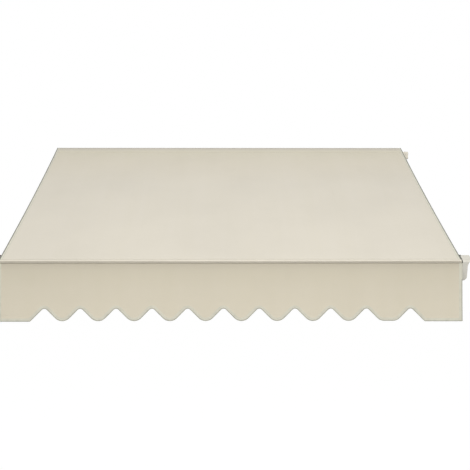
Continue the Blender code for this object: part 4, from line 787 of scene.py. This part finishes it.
def wave_height(x):
    """How far above its lowest line the valance's edge is: round notches, straight flanks, rounder lobes."""
    lean = math.sqrt(0.5)
    half = SCALLOP_PITCH / 2
    lobe = (half - SCALLOP_DEPTH + LOBE_LIFT) / (2 * lean - 1) - NOTCH_RADIUS
    centres = notch_centres()
    between = centres[0] < x < centres[-1]
    best = LOBE_LIFT if between else 0.0
    for i, centre in enumerate(centres):
        away = abs(x - centre)
        if away > half + 0.02:
            continue
        flank = SCALLOP_DEPTH - NOTCH_RADIUS * (1 - lean) - (away - NOTCH_RADIUS * lean)
        sharp = (i == 0 and x < centre) or (i == NOTCHES - 1 and x > centre)
        if away <= NOTCH_RADIUS * lean:
            height = SCALLOP_DEPTH - NOTCH_RADIUS + math.sqrt(NOTCH_RADIUS ** 2 - away ** 2)
        elif sharp or away <= half - lobe * lean:
            height = flank
        elif away < half:
            height = LOBE_LIFT + lobe - math.sqrt(lobe ** 2 - (half - away) ** 2)
        else:
            height = 0.0
        best = max(best, height)
    return best


def bound_height(x, width):
    """The upper limit of a band of that width along the wavy edge, measured square to the edge."""
    best = 0.0
    steps = 24
    for i in range(steps + 1):
        aside = -width + 2 * width * i / steps
        at = min(CLOTH_HALF, max(-CLOTH_HALF, x + aside))
        best = max(best, wave_height(at) + math.sqrt(max(0.0, width ** 2 - aside ** 2)))
    return best


class AWNING_OT_valance(bpy.types.Operator):
    """Make the scalloped valance with its binding, hung from its rod in the front bar"""
    bl_idname = "awning.valance"
    bl_label = "Valance"

    def execute(self, context):
        sizes = context.scene.awning_cloth
        half, top = CLOTH_HALF + VALANCE_OVERHANG, NOSE[1] - NOSE_RADIUS * 0.5
        places = set(even(-half, half, VALANCE_STEP))
        for centre in notch_centres():
            places |= {centre, centre - NOTCH_RADIUS / math.sqrt(2), centre + NOTCH_RADIUS / math.sqrt(2)}
        for edge in (-half, half):
            inward = -1 if edge > 0 else 1
            places |= {edge + inward * s for s in (sizes.hem_rim, sizes.tape - sizes.seam, sizes.tape)}
        columns = []
        for x in sorted(places):
            if not columns or x - columns[-1] > CLOSEST_COLUMNS:
                columns.append(x)
        columns[-1] = half
        widths = (0.0, sizes.hem_rim, sizes.tape - sizes.seam, sizes.tape)
        shares = [(i / VALANCE_ROWS) ** 1.15 for i in range(1, VALANCE_ROWS + 1)]
        rows = []
        for x in columns:
            marks = [wave_height(x)] + [bound_height(x, w) for w in widths[1:]]
            low = [VALANCE_LOW + m for m in marks]
            rows.append(low + [low[-1] + (top - low[-1]) * share for share in shares])

        def bulge(x, z):
            """How far the cloth stands forward of a plumb line: soft flutes that grow towards the edge."""
            drop = (top - z) / (top - VALANCE_LOW)
            flute = math.sin(2 * math.pi * (x + 0.03) / (2 * SCALLOP_PITCH)) + 0.5 * math.sin(9.1 * x + 1.0)
            return VALANCE_KICK * drop ** 2 + 0.0006 * flute * drop ** 1.6

        def strip(face, thick):
            cells = []
            for x, heights in zip(columns, rows):
                column = []
                for number, z in enumerate(heights):
                    bound = number < 3 or half - abs(x) < sizes.tape - STITCH_INSET
                    t = thick * (BOUND_LAYERS if bound else 1.0) / 2
                    column.append(side_point(x, NOSE[0] + bulge(x, z) + face * t, z))
                cells.append(column)
            return cells

        front, back = strip(1, sizes.thickness), strip(-1, sizes.thickness)
        outline = [f + b[::-1] for f, b in zip(front, back)]
        tall = len(rows[0])

        def at(j):
            j %= 2 * tall
            return j if j < tall else 2 * tall - 1 - j

        def slot_of(i, j):
            first, second = at(j), at(j + 1)
            low = min(first, second)
            inward = half - abs(columns[i] + columns[i + 1]) / 2
            sheltered = rows[i][low] > CAP_BOTTOM
            # Slot 2, the binding's outer fold along the hem and sides, is coloured as painted shade
            if low == 0 or (inward < sizes.hem_rim and not sheltered):
                return 2
            if low == 1 or inward < sizes.tape - sizes.seam:
                return 1
            return 3 if low == 2 or inward < sizes.tape else 0

        mesh = filled("valance_cloth", outline, slot_of,
                      lambda i, j: (columns[i] + 1, top - rows[i][at(j)]), closed_rows=True)
        close_ends(mesh, 2 * tall, folded_faces(2 * tall), material=2)
        piece = new_piece("valance_cloth", mesh, "valance", ("valance_cloth", "tape", "hem_rim", "tape"))
        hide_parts("valance")
        strips = zip(columns, columns[1:], rows, rows[1:])
        area = sum((b - a) * (top - (low[0] + high[0]) / 2) for a, b, low, high in strips)

        rod = bpy.data.curves.new("valance_rod", "CURVE")
        rod.dimensions = "3D"
        rod.bevel_depth = VALANCE_ROD_RADIUS
        rod.bevel_resolution = 3
        rod.use_fill_caps = True
        line = rod.splines.new("POLY")
        line.points.add(1)
        for target, x in zip(line.points, (-half + 0.001, half - 0.001)):
            target.co = (*side_point(x, *NOSE), 1)
        made = bpy.data.objects.new("valance_rod", rod)
        context.scene.collection.objects.link(made)
        rod.materials.append(finish("nylon"))
        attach(made, "valance")
        return {"FINISHED"}


# Elbow cables

class AWNING_OT_cables(bpy.types.Operator):
    """Make the sleeved cable that runs from each arm's spring over the elbow drum"""
    bl_idname = "awning.cables"
    bl_label = "Elbow cables"

    def execute(self, context):
        for side, word in ((-1, "left"), (1, "right")):
            shoulder, elbow, wrist = (PLACE.get(f"{word}_{part}") for part in ("shoulder", "elbow", "wrist"))
            wrist = wrist or Vector((side * abs(PLACE["left_wrist"].x), *PLACE["left_wrist"].yz))
            inward = (elbow - shoulder).normalized()
            onward = (wrist - elbow).normalized()
            radius = ELBOW_RADIUS + DRUM_CLEARANCE + CABLE_RADIUS
            outer = ARM_AXIS.cross(inward) * -side
            outer_on = ARM_AXIS.cross(onward) * -side
            bend = outer.angle(outer_on)
            points = [elbow - inward * s + outer * radius for s in CABLE_BEFORE_ELBOW]
            steps = 22
            for i in range(steps + 1):
                share = i / steps
                way = outer.slerp(outer_on, share) if bend > 1e-6 else outer
                points.append(elbow + way * radius)
            points += [elbow + onward * s + outer_on * radius for s in CABLE_AFTER_ELBOW]
            mesh = sleeve(f"elbow_cable_{word}", points, CABLE_RADIUS, ARM_AXIS)
            piece = new_piece(f"elbow_cable_{word}", mesh, None, ("sleeve",))
            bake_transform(piece)
            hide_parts(f"arm_cable_{word}")
        return {"FINISHED"}


def sleeve(name, points, radius, up, sides=10):
    """A round tube with closed ends along a line of points."""
    rows = []
    for i, point in enumerate(points):
        ahead = (points[min(i + 1, len(points) - 1)] - points[max(i - 1, 0)]).normalized()
        across = ahead.cross(up).normalized()
        rows.append(circle(point, radius, across, across.cross(ahead), sides))
    return close_ends(filled(name, rows, closed_rows=True), sides, [range(sides)])


# Small fittings

def turned(name, centre, axis, rings, body, finish_name, sides=20):
    """A small turned or moulded piece, from the rings of its profile."""
    axis = axis.normalized()
    across = axis.orthogonal().normalized()
    over = axis.cross(across)
    rows = [circle(centre + axis * along, radius, across, over, sides) for along, radius in rings]
    mesh = close_ends(filled(name, rows, closed_rows=True), sides, [range(sides)])
    return new_piece(name, mesh, body, (finish_name,))


class AWNING_OT_pin_caps(bpy.types.Operator):
    """Make the domed plastic caps over the arms' pivot pins"""
    bl_idname = "awning.pin_caps"
    bl_label = "Pin caps"

    def execute(self, context):
        for word in ("left", "right"):
            for pivot, body in (
                ("shoulder", f"{word}_yoke"),
                ("elbow", f"{word}_upper_arm"),
                ("wrist", "front_bar"),
            ):
                points = [v.co for v in NODES[f"{pivot}_pin_{word}"].data.vertices]
                top = max(p.dot(ARM_AXIS) for p in points)
                crown = [p for p in points if p.dot(ARM_AXIS) > top - 1e-5]
                centre = sum(crown, Vector()) / len(crown)
                turned(f"pin_cap_{pivot}_{word}", centre, ARM_AXIS, PIN_CAP, body, "nylon")
        return {"FINISHED"}


class AWNING_OT_fasteners(bpy.types.Operator):
    """Make the gearbox's cover screws and the set screws of the bar collars"""
    bl_idname = "awning.fasteners"
    bl_label = "Screws"

    def execute(self, context):
        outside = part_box("gearbox_cover")[1].x
        wheel, worm = ROLLER[0] - 0.0125, -PLACE["crank_turn"].y + 0.0085
        spots = ((wheel, 0.0095), (wheel, -0.0095), (worm, 0.0115), (worm, -0.0175))
        for number, (ahead, above) in enumerate(spots):
            turned(f"gearbox_screw_{number + 1}", side_point(outside, ahead, ROLLER[1] + above),
                   Vector((1, 0, 0)), SCREW_HEAD, "wall_frame", "zinc", 16)
        for word in ("left", "right"):
            for node in (f"arm_base_{word}", f"roller_bracket_{word}"):
                low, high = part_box(node)
                middle = (low.x + high.x) / 2
                if "bracket" in node:
                    middle = high.x - COLLAR_HALF if word == "left" else low.x + COLLAR_HALF
                turned(f"set_screw_{node}", side_point(middle, *SET_SCREW_PLACE), Vector((0, 0, -1)),
                       SET_SCREW, "wall_frame", "zinc", 16)
        return {"FINISHED"}


class AWNING_OT_cap_gap_shadows(bpy.types.Operator):
    """Make the black rings and pips in the gaps between the front bar and its end caps: painted shadow of
    those gaps
    """
    bl_idname = "awning.cap_seals"
    bl_label = "Cap seals"

    def execute(self, context):
        for side, word in ((-1, "left"), (1, "right")):
            ring = end_outline(NODES["front_bar"].data, side * CLOTH_HALF)
            start = side * (CLOTH_HALF + GAP_SHADOW_CLEARANCE)
            stop = side * (CLOTH_HALF + CAP_GAP - GAP_SHADOW_CLEARANCE)
            profile = ((start, -0.0005), (start + side * GAP_SHADOW_EDGE, -0.0001),
                       (stop - side * GAP_SHADOW_EDGE, -0.0001), (stop, -0.0005))
            rows = [[side_point(x, *p) for p in grown(ring, grow)] for x, grow in profile]
            mesh = filled(f"cap_gap_shadow_{word}", rows, closed_rows=True)
            close_ends(mesh, len(ring), [range(len(ring))])
            new_piece(f"cap_gap_shadow_{word}", mesh, "front_bar", ("rubber",))
            top = max(ring, key=lambda p: p[1])
            turned(f"gap_shadow_pip_{word}", side_point(side * (CLOTH_HALF + 0.0018), *top), Vector((side, 0, 0)),
                   GAP_SHADOW_PIP, "front_bar", "rubber", 14)
        return {"FINISHED"}


def end_outline(mesh, x):
    """The outer outline of a mesh's flat end at that x, as an anticlockwise side view."""
    shape = bmesh.new()
    shape.from_mesh(mesh)
    bmesh.ops.remove_doubles(shape, verts=shape.verts, dist=1e-5)
    shape.verts.index_update()
    flat = {f for f in shape.faces if all(abs(v.co.x - x) < 1e-5 for v in f.verts)}
    ahead = {}
    for edge in shape.edges:
        touching = [f for f in edge.link_faces if f in flat]
        if len(touching) == 1:
            first, second = (v.index for v in edge.verts)
            ahead.setdefault(first, []).append(second)
            ahead.setdefault(second, []).append(first)
    places = {v.index: (-v.co.y, v.co.z) for v in shape.verts}
    shape.free()
    loops, left = [], set(ahead)
    while left:
        here = before = left.pop()
        loop = [here]
        while True:
            onward = [n for n in ahead[here] if n != before and n in left]
            if not onward:
                break
            before, here = here, onward[0]
            left.discard(here)
            loop.append(here)
        loops.append([places[i] for i in loop])

    def around(loop):
        """How long a closed loop of points is."""
        return sum((Vector(a) - Vector(b)).length for a, b in zip(loop, loop[1:] + loop[:1]))

    outline = max(loops, key=around)
    turn = sum(a[0] * b[1] - b[0] * a[1] for a, b in zip(outline, outline[1:] + outline[:1]))
    return outline if turn > 0 else outline[::-1]


def grown(outline, distance):
    """An anticlockwise outline with each edge moved outwards."""
    points = [Vector(p) for p in outline]
    result = []
    for i, here in enumerate(points):
        before = (here - points[i - 1]).normalized()
        after = (points[(i + 1) % len(points)] - here).normalized()
        outwards = Vector((before.y, -before.x))
        bisector = (outwards + Vector((after.y, -after.x))).normalized()
        result.append(here + bisector * distance / max(0.3, bisector.dot(outwards)))
    return result


# Finishes of the carried frame

# By the starts of the nodes' names. The others are painted aluminium.
NODE_FINISHES = (
    (("bar_cap", "front_cap", "roller_bush", "roller_plug"), "plastic"),
    (("wall_bracket", "clamp_strap", "roller_bracket", "wall_bar"), "painted_steel"),
    (("clamp_bolt", "tilt_pin", "lock_bolt", "shoulder_pin", "elbow_pin", "wrist_pin", "worm_wheel",
      "worm_shaft"), "zinc"),
    ("arm_spring", "spring"),
    ("roller_tube", "galvanised"),
    ("front_bar", "bar_paint"),
    (("canopy", "valance", "cloth_roll"), "canopy_cloth"),
    ("arm_cable", "sleeve"),
)


class AWNING_OT_frame_finishes(bpy.types.Operator):
    """Give each carried node the finish of its real material"""
    bl_idname = "awning.frame_finishes"
    bl_label = "Frame finishes"

    def execute(self, context):
        for name, node in NODES.items():
            word = next((found for start, found in NODE_FINISHES if name.startswith(start)), "paint")
            for slot in node.material_slots:
                slot.material = finish(word)
        return {"FINISHED"}


# Stage

class AWNING_OT_stage(bpy.types.Operator):
    """Make the floor, the lights, the white background and the camera"""
    bl_idname = "awning.stage"
    bl_label = "Stage"

    def execute(self, context):
        scene = context.scene
        settings = scene.awning_stage
        self.make_floor(scene, settings)
        self.make_world(scene, settings)
        self.make_lights(scene, settings)
        camera = bpy.data.objects.new("photo_camera", bpy.data.cameras.new("photo_camera"))
        scene.collection.objects.link(camera)
        camera.data.lens = settings.lens
        camera.data.sensor_width = 36
        camera.location = CAMERA_PLACE
        camera.rotation_euler = (math.pi / 2 - CAMERA_DOWN, 0, -CAMERA_RIGHT)
        scene.camera = camera
        scene.view_settings.view_transform = "Standard"
        return {"FINISHED"}

    def make_floor(self, scene, settings):
        marks = even(-FLOOR_REACH, FLOOR_REACH, FLOOR_STEP)
        mesh = filled("floor", [[Vector((x, y, -settings.floor_drop)) for x in marks] for y in marks])
        floor = bpy.data.objects.new("floor", mesh)
        scene.collection.objects.link(floor)
        made, tree, shader = start_material("matt_white_floor", Base_Color=linear("E7E6E3"), Roughness=0.9)
        white = add(tree, "Emission", {"Color": WHITE, "Strength": FLOOR_GLOW})
        path = add(tree, "LightPath")
        seen = add(tree, "Math", {1: FLOOR_WHITE_SHARE}, {0: path.outputs["Is Camera Ray"]},
                   operation="MULTIPLY")
        mixed = add(tree, "MixShader", links={0: seen, 1: shader, 2: white})
        tree.links.new(mixed.outputs[0], tree.nodes["Material Output"].inputs["Surface"])
        mesh.materials.append(made)

    def make_world(self, scene, settings):
        world = bpy.data.worlds.new("soft_studio")
        scene.world = world
        world.use_nodes = True
        tree = world.node_tree
        tree.nodes.clear()
        path = add(tree, "LightPath")
        shown = path.outputs["Is Camera Ray"]
        for ray in ("Is Glossy Ray", "Is Transmission Ray"):
            shown = add(tree, "Math", links={0: shown, 1: path.outputs[ray]}, operation="MAXIMUM")
        even_light = add(tree, "Background", {"Color": (0.97, 0.985, 1.0, 1), "Strength": settings.ambient})
        white = add(tree, "Background", {"Color": WHITE, "Strength": 1.0})
        mixed = add(tree, "MixShader", links={0: shown, 1: even_light, 2: white})
        add(tree, "OutputWorld", links={"Surface": mixed})

    def make_lights(self, scene, settings):
        way = Vector((0.05, -math.cos(settings.key_height), math.sin(settings.key_height))).normalized()
        key_place = LIGHT_AIM + way * settings.key_distance
        for name, place, size, watts, colour in (
            ("key", key_place, KEY_SIZE, settings.key_watts, KEY_TINT),
            ("front_bounce", BOUNCE_PLACE, BOUNCE_SIZE, settings.bounce_watts, BOUNCE_TINT),
        ):
            light = bpy.data.lights.new(name, "AREA")
            light.shape = "RECTANGLE"
            light.size, light.size_y = size
            light.energy = watts
            light.color = colour
            lamp = bpy.data.objects.new(name, light)
            scene.collection.objects.link(lamp)
            lamp.location = place
            lamp.rotation_euler = (place - LIGHT_AIM).to_track_quat("Z", "Y").to_euler()
            lamp.visible_camera = False


class AWNING_PT_panel(bpy.types.Panel):
    """Lists the awning's pieces and the sizes and colours that can be changed"""
    bl_label = "Folding arm awning"
    bl_idname = "AWNING_PT_panel"
    bl_space_type = "VIEW_3D"
    bl_region_type = "UI"
    bl_category = "Awning"

    def draw(self, context):
        layout = self.layout
        for group in (context.scene.awning_cloth, context.scene.awning_colours, context.scene.awning_stage):
            box = layout.box()
            for key in group.bl_rna.properties.keys():
                if key not in ("rna_type", "name"):
                    box.prop(group, key)
        for operator in OPERATORS:
            layout.operator(operator.bl_idname)


OPERATORS = (
    AWNING_OT_stage,
    AWNING_OT_frame_finishes,
    AWNING_OT_cloth_roll,
    AWNING_OT_canopy,
    AWNING_OT_valance,
    AWNING_OT_cables,
    AWNING_OT_cap_gap_shadows,
    AWNING_OT_pin_caps,
    AWNING_OT_fasteners,
)
GROUPS = {
    "awning_cloth": AwningClothSizes,
    "awning_colours": AwningColours,
    "awning_stage": AwningStageSettings,
}


def register():
    for group in GROUPS.values():
        bpy.utils.register_class(group)
    for name, group in GROUPS.items():
        setattr(bpy.types.Scene, name, bpy.props.PointerProperty(type=group))
    for made in OPERATORS + (AWNING_PT_panel,):
        bpy.utils.register_class(made)


def unregister():
    for made in reversed(OPERATORS + (AWNING_PT_panel,)):
        bpy.utils.unregister_class(made)
    for name in GROUPS:
        delattr(bpy.types.Scene, name)
    for group in reversed(list(GROUPS.values())):
        bpy.utils.unregister_class(group)


def main():
    register()
    bpy.ops.awning.stage()
    bpy.ops.awning.frame_finishes()
    bpy.ops.awning.cloth_roll()
    bpy.ops.awning.canopy()
    bpy.ops.awning.valance()
    bpy.ops.awning.cables()
    bpy.ops.awning.cap_seals()
    bpy.ops.awning.pin_caps()
    bpy.ops.awning.fasteners()


if __name__ == "__main__":
    main()
